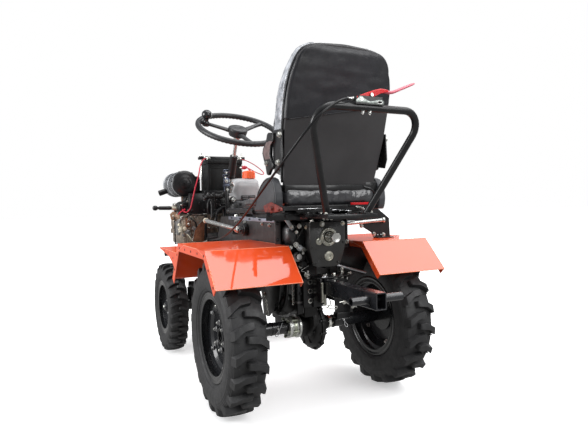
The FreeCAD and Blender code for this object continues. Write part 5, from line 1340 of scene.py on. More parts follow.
# ------------------------------------------------------------------ parts under the seat, rail tops and brackets
def underseat():
    g = G("rail_channels", "chassis", ["channel", "railgrey", "zinc", "deep_black_hole_shade", "black", "cast", "railedge"], "black_paint")
    for s in (1, -1):
        y0, y1 = sorted((s * 120.5, s * 149.5))
        g.box(-12, 520, y0, y1, 706.1, 709, 0, 0.7)
        ya, yb = sorted((s * 148.0, s * 151.4))
        g.box(-12, 520, ya, yb, 695, 709.4, 0, 1.2)
        # slots and bolts along the channel; the slots are flat near-black plates painting their shade
        for x in (18, 132, 246, 360, 474):
            yy = s * 151.5
            g.prism([(x + 13 * math.cos(a), yy, 703.0 + 3.6 * math.sin(a)) for a in [2 * math.pi * k / 20 for k in range(20)]], (0, s * 0.35, 0), 3)
        for x in (464, 189, 60):
            g.hexb((x, s * 134, 709), (0, 0, 1), 13, 8, 2)
        for x, z in ((107, 687), (33, 684), (300, 688), (420, 688)):
            g.hexb((x, s * 150, z), (0, s, 0), 11, 6, 2, turn=x * 0.01)
    # end flange of the left rail
    g.box(-62.5, -59, 150.5, 170, 612, 716, 6, 1.0)
    g.box(-62, -25, 150.2, 153.5, 600, 712, 1, 1.0)
    for z in (632, 694):
        g.hexb((-62.5, 161, z), (-1, 0, 0), 9, 5, 4)
    # hanger plate from the left rail to the axle, and the slide rails of the pan
    g.prism([(-58, 146, 600), (150, 146, 600), (150, 146, 520), (138, 146, 420), (112, 146, 318), (60, 146, 318), (20, 146, 345), (-40, 146, 400), (-58, 146, 470)], (0, 4, 0), 4, 1.2)
    for x, z in ((-30, 560), (60, 560), (130, 560), (100, 400)):
        g.hexb((x, 150, z), (0, 1, 0), 13, 7, 2)
    for s in (1, -1):
        ya, yb = sorted((s * 104, s * 142))
        g.box(-120, 236, ya, yb, 709.4, 727.8, 4, 2.0)
        ya, yb = sorted((s * 112, s * 150))
        g.box(-10, 234, ya, yb, 728.2, 750, 4, 2.0)
    g.tube([(200, 146, 734), (300, 148, 738), (420, 150, 738), (486, 152, 734)], 11, 18, 4, round_=2)
    g.lathe([(0, 11), (4, 14), (30, 14), (36, 10), (37, 1)], (486, 152, 734), (1, 0, 0), 24, 5)
    g.make(sharp=38)

    g = G("seat_mount_plates", "chassis", ["black", "redbrown", "zinc", "chrome", "red", "deep_black_hole_shade", "cast", "steel"], "black_paint")
    # red oxide bracket on the left of the pan
    g.prism([(-116, 234.6, 760), (-150, 234.6, 770), (-184, 234.6, 774), (-236, 234.6, 763), (-272, 234.6, 755), (-276, 234.6, 746), (-236, 234.6, 741), (-190, 234.6, 737), (-140, 234.6, 732), (-128, 234.6, 740)], (0, 3.2, 0), 1, 1.0)
    g.hexb((-196, 238, 752), (0, 1, 0), 13, 7, 1)
    g.hexb((-252, 238, 749), (0, 1, 0), 9, 5, 1)
    # plate under the left shell, with its folded edge
    g.box(-176, -172.3, 137, 253, 709.5, 738.4, 0, 1.2)
    g.box(-176, -150, 137, 253, 736.6, 739.2, 0, 0.8)
    for y, z in ((176, 724), (236, 728)):
        g.hexb((-176, y, z), (-1, 0, 0), 10, 5, 0)
    # red oxide block and small parts below the pan
    g.box(-150, -118, 78, 130, 710, 727, 1, 2.5)
    g.cyl((-152, 96, 718), (-144, 96, 718), 6, 18, 6)
    # bright slits: polished lower lip of the pan
    for y0, y1, z0, z1 in ((121, 147, 746.5, 749), (40, 121, 748.2, 749.6), (8, 40, 747.2, 748.4), (-20, 8, 741.2, 743.4), (-44, -20, 739.6, 741), (-74, -48, 736.6, 739.2)):
        g.box(-209.5, -205.5, y0, y1, z0, z1, 3, 0.4)
    g.box(-205.8, -200, -120, 150, 736.5, 752, 0, 0.8)
    # red lip showing at the right of the pan, return spring under it
    g.box(-212, -206.3, -152, -70, 759, 767.4, 4, 1.0)
    g.box(-209, -204, -158, -62, 752, 760, 0, 0.8)
    sp_ = []
    for i in range(80):
        a = i * 0.62
        sp_.append((-208 + 4.6 * math.cos(a), -92 - i * 0.42, 750 + 4.6 * math.sin(a) - i * 0.06))
    g.tube(sp_, 1.1, 6, 2, round_=1)
    # bolts between the seat plate and the frame
    for y, z in ((11, 719), (-4, 719), (-46, 715)):
        g.hexb((-204, y, z + 2), (0, 0, -1), 10, 7, 2, turn=0.4)
    for y in (60, -60, 112, -112):
        g.hexb((-214, y, 728.3), (0, 0, 1), 12, 7, 0)
    # foot plates of the grab bar
    for s in (1, -1):
        g.box(-316, -272, s * 80 - 17, s * 80 + 17, 728.2, 731.6, 0, 1.2)
        g.ring((-297.5, s * 82, 731), (-299.4, s * 84, 735.5), 17, 12.6, 28, 0)
        for x in (-309, -280):
            g.hexb((x, s * 80 + s * 11, 731.4), (0, 0, 1), 8, 4, 2)
    # edge stiffener of the seat plate
    g.box(-338, -334, -100, 100, 714, 728.4, 0, 1.2)
    g.box(-334, -172, 96, 100, 716, 722, 0, 1.0)
    g.box(-334, -172, -100, -96, 716, 722, 0, 1.0)
    g.make(sharp=38)

    # gap closers: lower edge of the back board down to the cushion
    g = G("board_foot", "chassis", ["black", "vinyl", "redbrown", "zinc", "dkred"], "seat_board")
    g.tube([rec(-176, y, 829.5) for y in (-182, -120, -60, 0, 60, 120, 182)], 5.2, 12, 1, round_=1)
    g.box(-192, -150, -178, 188, 806, 834, 0, 3)
    g.box(-188, -170, -200, -150, 812, 845, 0, 2)
    g.prism([(-183, -60, 842), (-183, -214, 838), (-183, -214, 830), (-183, -110, 830), (-183, -60, 834)], (3, 0, 0), 2, 0.8)
    g.tube([(-190, -140, 826), (-196, -170, 818), (-188, -196, 800), (-160, -204, 790)], 4.5, 10, 0)
    g.make(sharp=50)

    # backrest brackets
    g = G("bracket_plates", "chassis", ["black", "tanpink", "deep_black_hole_shade", "zinc"], "black_paint")
    for s in (1, -1):
        pl = [(-232, 1020), (-170, 1024), (-163, 985), (-160, 933), (-172, 900), (-224, 893), (-238, 926)]
        g.prism([(x, s * 211.5, z) for x, z in pl], (0, s * 5, 0), 0, 1.4)
        hk = [(-126, 1014), (-138, 1019), (-180, 1014), (-180, 987), (-155, 974), (-149, 940), (-158, 918), (-176, 905), (-172, 892), (-150, 887), (-130, 869), (-117, 873), (-106, 905), (-90, 930), (-80, 951), (-87, 968), (-104, 982), (-120, 1000)]
        g.prism([(x, s * 211.5, z) for x, z in hk], (0, s * 12, 0), 0, 2.2)
        mid = [(-122, 986), (-150, 988), (-174, 984), (-152, 970), (-146, 940), (-152, 926), (-110, 926), (-96, 940), (-90, 952), (-98, 966)]
        g.prism([(x, s * 223.4, z) for x, z in mid], (0, s * 1.2, 0), 1, 0.5)
        for x, z in ((-221.8, 1001.5), (-206, 908.9)):
            g.hexb((x, s * 216.4, z), (0, s, 0), 15, 8, 3)
        g.hexb((-120, s * 223.5, 912), (0, s, 0), 12, 6, 3)
    ob = g.make(sharp=40)
    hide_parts("backrest_brackets")


M["channel"] = mat("bright_channel", (0.30, 0.33, 0.39), 0.36, metal=0.55, vary=0.3, scale=16, rvary=0.12, bump=0.2, bscale=300, edge=0.0008)
M["railedge"] = mat("rail_edge_enamel", (0.075, 0.072, 0.072), 0.42, vary=0.2, scale=20, rvary=0.1, coat=0.2, coat_r=0.2)
M["tanpink"] = mat("worn_bracket_face", (0.16, 0.105, 0.10), 0.42, vary=0.35, scale=40, rvary=0.12, bump=0.3, coat=0.3, coat_r=0.2)
underseat()


# ------------------------------------------------------------------ gearbox
def gearbox():
    bx = -160.0
    g = G("gearbox_housing", "chassis", ["plate", "cast", "olive", "zinc", "deep_black_hole_shade", "steel", "cream", "black"], "black_paint")
    # body behind the plate with ribs and a parting flange
    g.prism([(bx + 6, 70, 700), (bx + 6, 68, 592), (bx + 6, 50, 543), (bx + 6, -48, 543), (bx + 6, -70, 600), (bx + 6, -71, 697)], (262, 0, 0), 1, 5)
    for x in (-96, -30, 40, 88):
        g.prism([(x, 73, 700), (x, 71, 590), (x, 52, 541.5), (x, -51, 541.5), (x, -73, 600), (x, -74, 697)], (9, 0, 0), 1, 2)
    # cover plate
    pts = [(75.6, 700), (-77.1, 697), (-76.4, 618), (-66, 576), (-53, 541), (-44, 534), (-27, 530.5), (45, 532), (60, 538), (66, 552), (74.5, 590)]
    g.prism([(bx, y, z) for y, z in pts], (7, 0, 0), 0, 1.6)
    # bearing carrier
    c = Vector((bx, -2.5, 642.5))
    ax = Vector((-1, 0, 0))
    g.lathe([(-2, 34.5), (1.4, 35.4), (3.6, 34.6), (5.2, 32.2), (5.6, 27.5), (6.6, 27.0), (7.4, 25.4), (7.0, 22.6), (5.0, 21.4), (0.4, 20.8), (-2, 20.8)], c, ax, 64, 2, closed=True)
    # thin near-black ring inside the carrier: painted shade of the seal gap
    g.lathe([(-1.0, 20.8), (0.8, 20.6), (0.8, 17.8), (-1.0, 17.8)], c, ax, 48, 4, closed=True)
    for k in range(6):
        a = math.radians(60 * k + 22)
        g.hexb(c + Vector((-5.2, 30.0 * math.cos(a), 30.0 * math.sin(a))), ax, 6.4, 3.2, 3, washer=False, turn=k)
    g.tube([c + Vector((-8.2, 26.2 * math.cos(a), 26.2 * math.sin(a))) for a in [math.radians(q) for q in range(-40, 290, 15)]], 1.0, 6, 2, round_=1)
    # plug with a small bolt
    p = Vector((bx, 38, 627))
    g.lathe([(-1, 13.6), (2.4, 13.6), (3.4, 12.4), (3.8, 8.2), (2.6, 7.4), (2.6, 0.1)], p, ax, 32, 2)
    g.hexb(p + ax * 2.4, ax, 9, 4, 3, washer=False, turn=0.5)
    # drain plug with a socket
    p = Vector((bx, -2.6, 570.5))
    g.lathe([(-1, 18.8), (2.2, 18.8), (4.0, 17.2), (4.6, 12.4), (5.4, 11.8), (5.4, 6.0), (2.2, 5.4), (2.2, 0.1)], p, ax, 40, 2)
    g.tube([p + Vector((-5.0, 15 * math.cos(a), 15 * math.sin(a))) for a in [math.radians(q) for q in range(120, 300, 15)]], 1.0, 6, 6, round_=1)
    # cover bolts
    g.hexb((bx, 24, 690), ax, 13, 6, 3, kw=2, turn=0.2)
    g.hexb((bx, -64, 690), ax, 11, 6, 6, kw=3)
    for y, z in ((66, 604), (-68, 620), (-42, 545), (50, 545)):
        g.hexb((bx, y, z), ax, 7, 3.4, 0, washer=False)
    # three bolts on top
    for y, z in ((58, 706), (-20, 708), (24, 708)):
        g.hexb((bx + 14, y, 699), (0, 0, 1), 12, 8, 3 if y > 40 else 7)
    ob = g.make(sharp=36)
    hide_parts("transmission_box")

    g = G("pto_stub", "chassis", ["steel", "olive", "zinc"], "steel")
    c = Vector((-160, -0.5, 642))
    # splined shaft
    n = 96
    rings = []
    for t, r, cut in ((-55, 15, 0), (11.5, 15, 0), (12, 15.8, 0), (13, 16.6, 1.5), (57, 16.6, 1.5), (58.5, 17.6, 0), (60.4, 18.2, 0), (62, 17.0, 0), (62.2, 14.6, 0), (61.4, 12.8, 0), (61.4, 0.05, 0)):
        row = []
        for j in range(n):
            a = 2 * math.pi * j / n
            rr = r - (cut if (j % 8) in (0, 1, 2) else 0)
            row.append(c + Vector((-t, rr * math.cos(a), rr * math.sin(a))))
        rings.append(row)
    g.loft(rings, 0)
    g.ring(c + Vector((-8, 0, 0)), c + Vector((-12, 0, 0)), 18.0, 15.2, 40, 1)
    ob = g.make(sharp=38)
    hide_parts("pto_shaft")

    g = G("pulley_cover", "chassis", ["dome", "cast", "zinc"], "cast_iron")
    g.lathe([(-24, 14), (0.5, 14), (0.5, 36), (2, 38.5), (6, 40), (16, 40.5), (24, 39.6), (31, 36.5), (37, 30.5), (40.6, 22), (42.4, 12), (42.8, 0.1)], (-70, 98.6, 651), (0, 1, 0), 56, 0)
    g.ring((-70, 98.2, 651), (-70, 101.6, 651), 44, 38, 48, 1)
    for k in range(4):
        a = math.radians(90 * k + 30)
        g.hexb((-70 + 41 * math.cos(a), 101.4, 651 + 41 * math.sin(a)), (0, 1, 0), 5, 3, 1, washer=False)
    ob = g.make(sharp=50)
    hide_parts("input_pulley")

    # links and small parts left of the box
    g = G("gearbox_links", "chassis", ["linkgrey", "zinc", "cast", "steel", "black", "redbrown", "alloygrey", "deep_black_hole_shade", "cream"], "steel")
    def bar(p0, p1, w, t, k):
        p0, p1 = Vector(p0), Vector(p1)
        d = (p1 - p0).normalized()
        s_ = Vector((1, 0, 0)).cross(d).normalized()
        pts_ = []
        for c_, a0 in ((p0, 180), (p1, 0)):
            for q in range(7):
                a = math.radians(a0 - 90 + 30 * q)
                pts_.append(c_ + d * (w * math.cos(a)) + s_ * (w * math.sin(a)))
        g.prism(pts_, (t, 0, 0), k, 0.8)
    bar((-106, 142, 708), (-106, 119, 676), 7.6, 4, 0)
    bar((-100, 133, 672), (-100, 84, 594), 6.6, 4, 0)
    g.hexb((-106, 122, 681), (-1, 0, 0), 10, 6, 1)
    g.hexb((-106, 146, 713), (-1, 0, 0), 10, 6, 1)
    for y, z, d, k in ((105.6, 614.3, 13, 1), (90.3, 601.8, 15, 0), (72.1, 595, 12, 1), (80, 582, 10, 1), (98, 604, 9, 3)):
        g.hexb((-106, y, z), (-1, 0.15, 0), d, 9, k, turn=y)
    g.cyl((-112, 84, 570), (-90, 84, 570), 18, 28, 2, 3)
    g.cyl((-104, 72, 540), (-84, 72, 540), 14, 28, 2, 3)
    g.lathe([(0, 16), (4, 18), (16, 18), (20, 12), (30, 11)], (-84, 96, 566), (-1, 0, 0.1), 28, 6)
    g.tube([(-150, 87, 692), (-151, 100, 672), (-150, 112, 652), (-148, 123, 634)], 2.2, 8, 7, round_=2)
    g.hexb((-118, 97, 684), (-1, 0, 0), 12, 8, 1)
    g.hexb((-118, 66, 679), (-1, 0, 0), 13, 8, 8)
    g.hexb((-118, 84, 660), (-1, 0, 0), 10, 6, 7)
    g.hexb((-116, 108, 662), (-1, 0, 0), 9, 6, 1)
    g.tube([(-112, 74, 512), (-112, 92, 516), (-110, 57, 534)][0:1] + [(-112, 93.7, 516.2), (-111, 75, 525), (-110, 55.8, 534.3)], 1.6, 8, 3, round_=1)
    # dark housings between the rail and the box
    g.box(-60, 60, 76, 106, 560, 700, 2, 8)
    g.box(-90, 0, 104, 148, 590, 616, 2, 6)
    g.box(-72, 40, 60, 140, 512, 560, 2, 10)
    g.lathe([(0, 30), (6, 34), (40, 34), (46, 28)], (-104, 98, 640), (1, 0, 0), 36, 2)
    for y, z in ((96, 534), (70, 528), (118, 540), (120, 604)):
        g.hexb((-72 if z < 570 else -90, y, z), (-1, 0, 0), 10, 6, 1)
    # stud stacks at the foot of the box
    for y, z0, z1 in ((60, 484, 516), (-88, 474, 520), (-60, 474, 486), (-112, 468, 478)):
        g.cyl((-110, y, z0), (-110, y, z1), 4.6, 14, 3)
        for k, zz in enumerate(np.arange(z0 + 3, z1 - 8, 10.5)):
            g.hexb((-110, y, zz), (0, 0, 1), 13, 6.5, 1, turn=k * 0.4 + y)
    g.hexb((-106, 66, 500), (-1, 0, 0), 11, 6, 1)
    # dark castings under the box, either side of the neck
    g.box(-56, 70, -104, -68, 462, 548, 2, 6)
    g.box(-56, 70, -74, -44, 506, 548, 2, 6)
    g.box(-40, 60, -176, -100, 470, 520, 2, 8)
    # black plate right of the box, lower tie rod
    g.prism([(-58, -100, 660), (-58, -138, 622), (-58, -217, 604), (-58, -246, 531), (-58, -221, 480), (-58, -126, 508), (-58, -92, 540)], (6, 0, 0), 4, 1.4)
    g.prism([(-58, -76, 640), (-58, -140, 622), (-58, -140, 610), (-58, -76, 600)], (6, 0, 0), 4, 1.0)
    g.hexb((-58, -147, 610), (-1, 0, 0), 12, 6, 1)
    g.hexb((-58, -193.3, 596.5), (-1, 0, 0), 12, 6, 1)
    g.cyl((-100, -72, 525), (-100, -208, 485.5), 4.6, 16, 0)
    g.cyl((-98, -74, 516), (-98, -200, 478), 3.4, 14, 4)
    g.box(-52, 60, -150, -128, 560, 600, 4, 3)
    # gusset bolts on the right
    for y, z in ((-237, 669), (-298, 632), (-346, 627.5)):
        g.hexb((-27.5 if z > 650 else -30, y, z), (-1, 0, 0), 12, 6, 1)
    for y in (-302, -318, -334, -352):
        g.box(-30.5, -28, y - 3, y + 3, 626.5, 631, 0, 0.6)
    # cross tube clip and black bar above the rod
    g.box(-40, -30, -240, -90, 692, 712, 4, 2)
    for y in (-20, -4, 12):
        g.hexb((-150, y, 706), (-0.3, 0, 1), 9, 6, 1, turn=y)
    g.make(sharp=38)


M["linkgrey"] = mat("worn_link_steel", (0.50, 0.52, 0.54), 0.42, metal=0.75, vary=0.25, scale=40, rvary=0.12, bump=0.3, bscale=400, edge=0.0008)
M["dome"] = mat("drum_enamel", (0.020, 0.021, 0.023), 0.40, coat=0.3, coat_r=0.2, vary=0.2, scale=24, rvary=0.1, bump=0.2, bscale=500)
gearbox()


# ------------------------------------------------------------------ final drive and axle fittings
M["tubeblack"] = mat("tube_enamel", (0.014, 0.015, 0.018), 0.30, coat=0.7, coat_r=0.12, spec=0.4, vary=0.3, scale=16, rvary=0.1, bump=0.12, bscale=350, edge=0.001)
M["casedark"] = mat("case_enamel", (0.007, 0.0068, 0.007), 0.46, coat=0.15, coat_r=0.25, spec=0.28, vary=0.35, scale=26, rvary=0.12, bump=0.6, bscale=260, dust=0.05, dust_col=(0.13, 0.12, 0.11), edge=0.0015)
M["boltpale"] = mat("pale_flange", (0.66, 0.67, 0.64), 0.32, metal=0.75, vary=0.35, scale=60, rvary=0.12, bump=0.3, bscale=400)
M["silvergreen"] = mat("phosphated_flange", (0.42, 0.44, 0.36), 0.34, metal=0.9, vary=0.4, scale=50, rvary=0.14, bump=0.4, bscale=400)
for n_ in ("drawbar", "drawbar_cross_tube"):
    paint(n_, "tubeblack")


def chain(g, pts, k, r=1.5, L=12.0, w=4.2):
    """welded links along a polyline"""
    P_ = [Vector(p) for p in pts]
    seg = [(P_[i + 1] - P_[i]).length for i in range(len(P_) - 1)]
    tot = sum(seg)
    t, i = 0.0, 0
    while t < tot - L * 0.5:
        a, acc = 0, t
        while a < len(seg) - 1 and acc > seg[a]:
            acc -= seg[a]
            a += 1
        d = (P_[a + 1] - P_[a]).normalized()
        c = P_[a] + d * acc
        u, w_, _ = frame_of(d)
        s_ = u if i % 2 else w_
        loop = [c + d * (L / 2 * math.cos(q)) + s_ * (w * math.sin(q)) for q in [2 * math.pi * j / 12 for j in range(12)]]
        g.tube(loop, r, 6, k, closed=True, round_=1)
        t += L - 2.4 * r
        i += 1


def drive():
    Z0 = 282.5
    g = G("drive_case", "chassis", ["casedark", "silvergreen", "zinc", "black", "deep_black_hole_shade", "olive", "railedge", "cast", "boltpale"], "cast_iron")
    ax = Vector((0, 1, 0))
    # round two-part case with its bolted joint
    g.lathe([(0, 0.1), (0, 58), (2, 64), (3, 82), (6, 90), (13, 93.5), (14, 100.5), (19.6, 101), (20, 99.4), (20.4, 101), (26, 100.5), (27, 93.5), (37, 91), (46, 86), (51, 76), (52.6, 62), (54, 58), (54, 0.1)], (0, -33, Z0), ax, 84, 0)
    for k in range(12):
        a = math.radians(12 + k * 30)
        x, z = 94.5 * math.cos(a), Z0 + 94.5 * math.sin(a)
        g.cyl((x, -20, z), (x, -6, z), 9.2, 18, 0, 1.5)
        g.hexb((x, -19.5, z), (0, -1, 0), 10, 7, 3, washer=False, turn=k)
        g.hexb((x, -6.5, z), (0, 1, 0), 10, 7, 3, washer=False, turn=k)
    for k in range(8):
        a = math.radians(k * 45 + 10)
        for y0, y1 in ((-35.5, -30), (17, 22)):
            x0, z0, x1, z1 = 50 * math.cos(a), 50 * math.sin(a), 80 * math.cos(a), 80 * math.sin(a)
            g.tube([(x0, (y0 + y1) / 2, Z0 + z0), (x1, (y0 + y1) / 2, Z0 + z1)], 3.2, 8, 0, round_=1)
    # bearing bosses
    g.lathe([(0, 40), (2, 44), (34, 44), (36, 40), (36, 15.7), (0, 15.7)], (0, 18, Z0), ax, 48, 0, closed=True)
    g.lathe([(0, 15.7), (0, 30), (2, 32), (40, 30), (44, 28.5), (44, 15.7)], (0, -33, Z0), -ax, 44, 0, closed=True)
    # bright notched flange on the left, castle nut on the right
    g.lathe([(0, 15.7), (0, 44), (1.4, 45.6), (9, 45.6), (10.5, 44), (11, 37), (15, 35.5), (36, 34.5), (37, 41), (38.5, 42.6), (49, 42), (51, 39), (51.5, 26), (51.5, 15.7)], (0, 52.5, Z0), ax, 56, 8, closed=True)
    for k in range(5):
        a = math.radians(72 * k + 200)
        x, z = 37.5 * math.cos(a), 37.5 * math.sin(a)
        g.cyl((x, 64, Z0 + z), (x, 90, Z0 + z), 5.5, 16, 1)
        g.hexb((x * 0.96, 104.5, Z0 + z * 0.96), (0, 1, 0), 10, 5, 1)
    g.lathe([(0, 35.0), (0.5, 37.2), (13, 37.2), (13.5, 35)], (0, 69, Z0), ax, 48, 1)
    g.lathe([(0, 15.7), (0, 25), (1, 26.4), (5, 26.4), (6, 24)], (0, -76, Z0), -ax, 36, 2, closed=False)
    g.hexb((0, -78, Z0), (0, -1, 0), 46, 17, 2, washer=False, turn=0.3)
    for k in range(6):
        a = math.radians(60 * k + 8)
        g.cyl((19.5 * math.cos(a), -94.5, Z0 + 19.5 * math.sin(a)), (19.5 * math.cos(a), -99, Z0 + 19.5 * math.sin(a)), 3.6, 10, 5, 0.8)
    # neck on the left half, front plate with three bolts, square leg
    g.box(-82, 66, 4, 62, 330, 536, 0, 7)
    g.box(-60, 50, -30, 10, 330, 470, 0, 8)
    g.prism([(-80, 4, 350), (-88, 4, 300), (-60, 4, 250), (60, 4, 250), (88, 4, 300), (66, 4, 380)], (0, 22, 0), 0, 2)
    g.box(-92, -84, 1, 70, 372, 487, 3, 1.4)
    for z in (468, 433, 396):
        g.ring((-92, 41.8, z), (-94.4, 41.8, z), 10.2, 5.6, 28, 2, 0.8)
        g.cyl((-92, 41.8, z), (-93.2, 41.8, z), 5.8, 18, 4, 0.2)
        g.hexb((-92.4, 41.8, z), (-1, 0, 0), 9.4, 4.2, 3, washer=False, turn=z)
    g.box(-75, -48, 62, 88, 344, 460, 3, 3)
    g.box(-77, -46, 60, 90, 386, 394, 6, 2)
    g.box(-76.2, -74.6, 62, 65, 348, 456, 6, 0.5)
    g.hexb((-75, 75, 424), (-1, 0, 0), 10, 5, 3)
    g.box(-66, -50, 40, 96, 460, 476, 3, 2)
    g.cyl((-59, 90, 468), (-59, 100, 468), 9, 20, 2)
    # dark belt cover and hoses left of the neck
    g.box(-10, 62, 90, 142, 330, 474, 7, 12)
    g.box(-26, 30, 96, 138, 420, 500, 7, 10)
    g.lathe([(0, 30), (6, 36), (30, 36), (36, 30), (38, 8)], (10, 98, 378), (-1, 0, 0), 40, 7)
    g.tube([(-30, 110, 470), (-46, 116, 430), (-40, 124, 380), (-14, 132, 350), (20, 138, 350)], 6.5, 12, 0)
    g.tube([(-30, 136, 470), (-40, 142, 440), (-30, 142, 400), (0, 142, 372)], 5.0, 12, 0)
    for y, z in ((104, 448), (132, 446), (104, 344), (134, 344)):
        g.hexb((-10, y, z), (-1, 0, 0), 10, 6, 3)
    chain(g, [(-62, 100, 462), (-61, 100, 430), (-60, 99, 402), (-58, 98, 380)], 2)
    chain(g, [(-8, 190, 402), (-6, 186, 372), (-4, 180, 330)], 2, 1.3, 10, 3.6)
    ob = g.make(sharp=40)
    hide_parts("final_drive_case")

    # hitch bracket with its two cheeks, top plate and pin
    g = G("hitch_bracket", "chassis", ["black", "olive", "zinc", "tubeblack", "chrome"], "black_paint")
    g.box(-104, -73, -34, 34, 405, 486, 0, 1.5)
    g.box(-104, -73, -24, 34, 372, 410, 0, 1.5)
    for y0, y1 in ((24, 33.5), (-33.5, -24)):
        g.box(-156, -100, y0, y1, 400, 486, 0, 1.6)
    g.prism([(-60, 52, 486), (-150, 44, 486), (-156, 24, 486), (-156, -34, 486), (-132, -126, 486), (-96, -132, 486), (-60, -110, 486)], (0, 0, 4.5), 0, 1.2)
    g.box(-152, -126, -2, 22, 490.2, 492.6, 4, 0.8)
    g.prism([(-106, -48, 400), (-106, -86, 420), (-106, -128, 470), (-106, -128, 484), (-106, -34, 484), (-106, -34, 408)], (5, 0, 0), 0, 1.2)
    g.prism([(-64, -84, 326), (-64, -150, 318), (-64, -156, 352), (-64, -132, 396), (-64, -84, 420)], (6, 0, 0), 0, 1.2)
    g.box(-72, -40, -148, -88, 306, 330, 0, 3)
    for y, z in ((-60, 470), (-110, 474)):
        g.hexb((-106, y, z), (-1, 0, 0), 12, 6, 0)
    for y in (-118, -46):
        g.hexb((-120, y, 490.4), (0, 0, 1), 13, 7, 2)
    # weld beads on the drawbar
    for x0, y0, x1, y1 in ((-458, 20.6, -432, 20.6), (-458, -20.6, -432, -20.6)):
        for z in (DZ - 13, DZ + 13):
            g.tube([(x0 + (x1 - x0) * q / 8, y0 + (0.8 if q % 2 else 0) * (1 if y0 > 0 else -1), z) for q in range(9)], 2.2, 8, 3, round_=1)
    ob = g.make(sharp=40)
    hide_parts("drawbar_bracket")
    g = G("hitch_pin_set", "chassis", ["steel", "olive", "zinc", "chrome"], "steel")
    g.cyl((-130, 0, 380), (-130, 0, 500), 6, 24, 1, 1.2)
    g.lathe([(0, 10), (1, 12), (6, 12), (8, 10), (9, 1)], (-130, 0, 493), (0, 0, 1), 28, 0)
    g.cyl((-163, 28, 400), (-163, 28, 470), 6.2, 20, 1, 1.0)
    g.box(-168, -158, 22, 35, 470, 474, 1, 1)
    g.tube([(-133, 12, 384), (-133, -14, 380), (-134, -46, 374), (-136, -52, 368), (-134, -46, 362), (-132, -18, 368), (-132, 4, 372)], 1.9, 8, 2)
    g.tube([(-130, -20, 402), (-131, -26, 388), (-130, -18, 374), (-129, -8, 372)], 2.2, 8, 1)
    g.tube([(-132, -62, 386), (-134, -80, 388), (-134, -98, 380), (-133, -120, 366), (-133, -140, 360)], 2.0, 8, 2)
    g.hexb((-132, -84, 384), (-1, 0, 0), 10, 5, 2)
    g.hexb((-132, -122, 364), (-1, 0, 0), 10, 5, 2)
    ob = g.make(sharp=40)
    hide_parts("hitch_pin")

    # R clips through the axle sleeves, turning with the wheels
    for s, tag in ((1, "left"), (-1, "right")):
        g = G("axle_clip_" + tag, "wheel_rear_" + tag, ["chrome", "black", "zinc"], "steel")
        y = s * 148
        g.cyl((-28, y, Z0 + 4), (28, y, Z0 + 4), 4.4, 14, 2)
        y2 = y
        g.tube([(-27.5, y2 - s * 16, Z0 + 26), (-30, y2 - s * 10, Z0 + 14), (-31, y2 - s * 4, Z0 + 4), (-31.5, y2 + s * 6, Z0 - 8), (-31.5, y2 + s * 14, Z0 - 14), (-31.5, y2 + s * 15, Z0 - 22), (-31, y2 + s * 8, Z0 - 25), (-30.5, y2 + s * 2, Z0 - 18), (-30.5, y2 - s * 2, Z0 - 6), (-30, y2 + s * 2, Z0 + 2)], 1.6, 8, 0)
        g.ring((0, s * 104.4, Z0), (0, s * 108, Z0), 26.6, 24.6, 40, 1)
        g.ring((0, s * 168, Z0), (0, s * 171, Z0), 26.4, 24.6, 40, 1)
        g.make(sharp=50)


DZ = 0.5 * (NODES["drawbar"].bound_box[0][2] + NODES["drawbar"].bound_box[6][2]) * 1000
drive()


# ------------------------------------------------------------------ wheel hardware
M["boltpink"] = mat("bright_wheel_bolt", (0.62, 0.56, 0.54), 0.30, metal=0.9, vary=0.3, scale=90, rvary=0.12)
M["boltgrey"] = mat("grey_wheel_bolt", (0.50, 0.50, 0.50), 0.36, metal=0.85, vary=0.3, scale=90, rvary=0.12)
# darker copy of the rim enamel for the rolled lips: painted shade
M["rim_lip_shade_copy"] = mat("rim_lip_enamel_painted_shade", (0.006, 0.0065, 0.008), 0.24, coat=0.45, coat_r=0.10, spec=0.35, vary=0.25, scale=18, rvary=0.08, bump=0.05, bscale=300, edge=0.001)
# copy of the rim enamel for the right rear rim only, its tone set for the light on that wheel: painted shading
M["rimshade"] = mat("rim_enamel_right_painted_shading", (0.030, 0.030, 0.033), 0.30, coat=0.35, coat_r=0.12, spec=0.3, vary=0.25, scale=18, rvary=0.08, bump=0.08, bscale=300, edge=0.001)
paint("rear_rim_right", "rimshade")


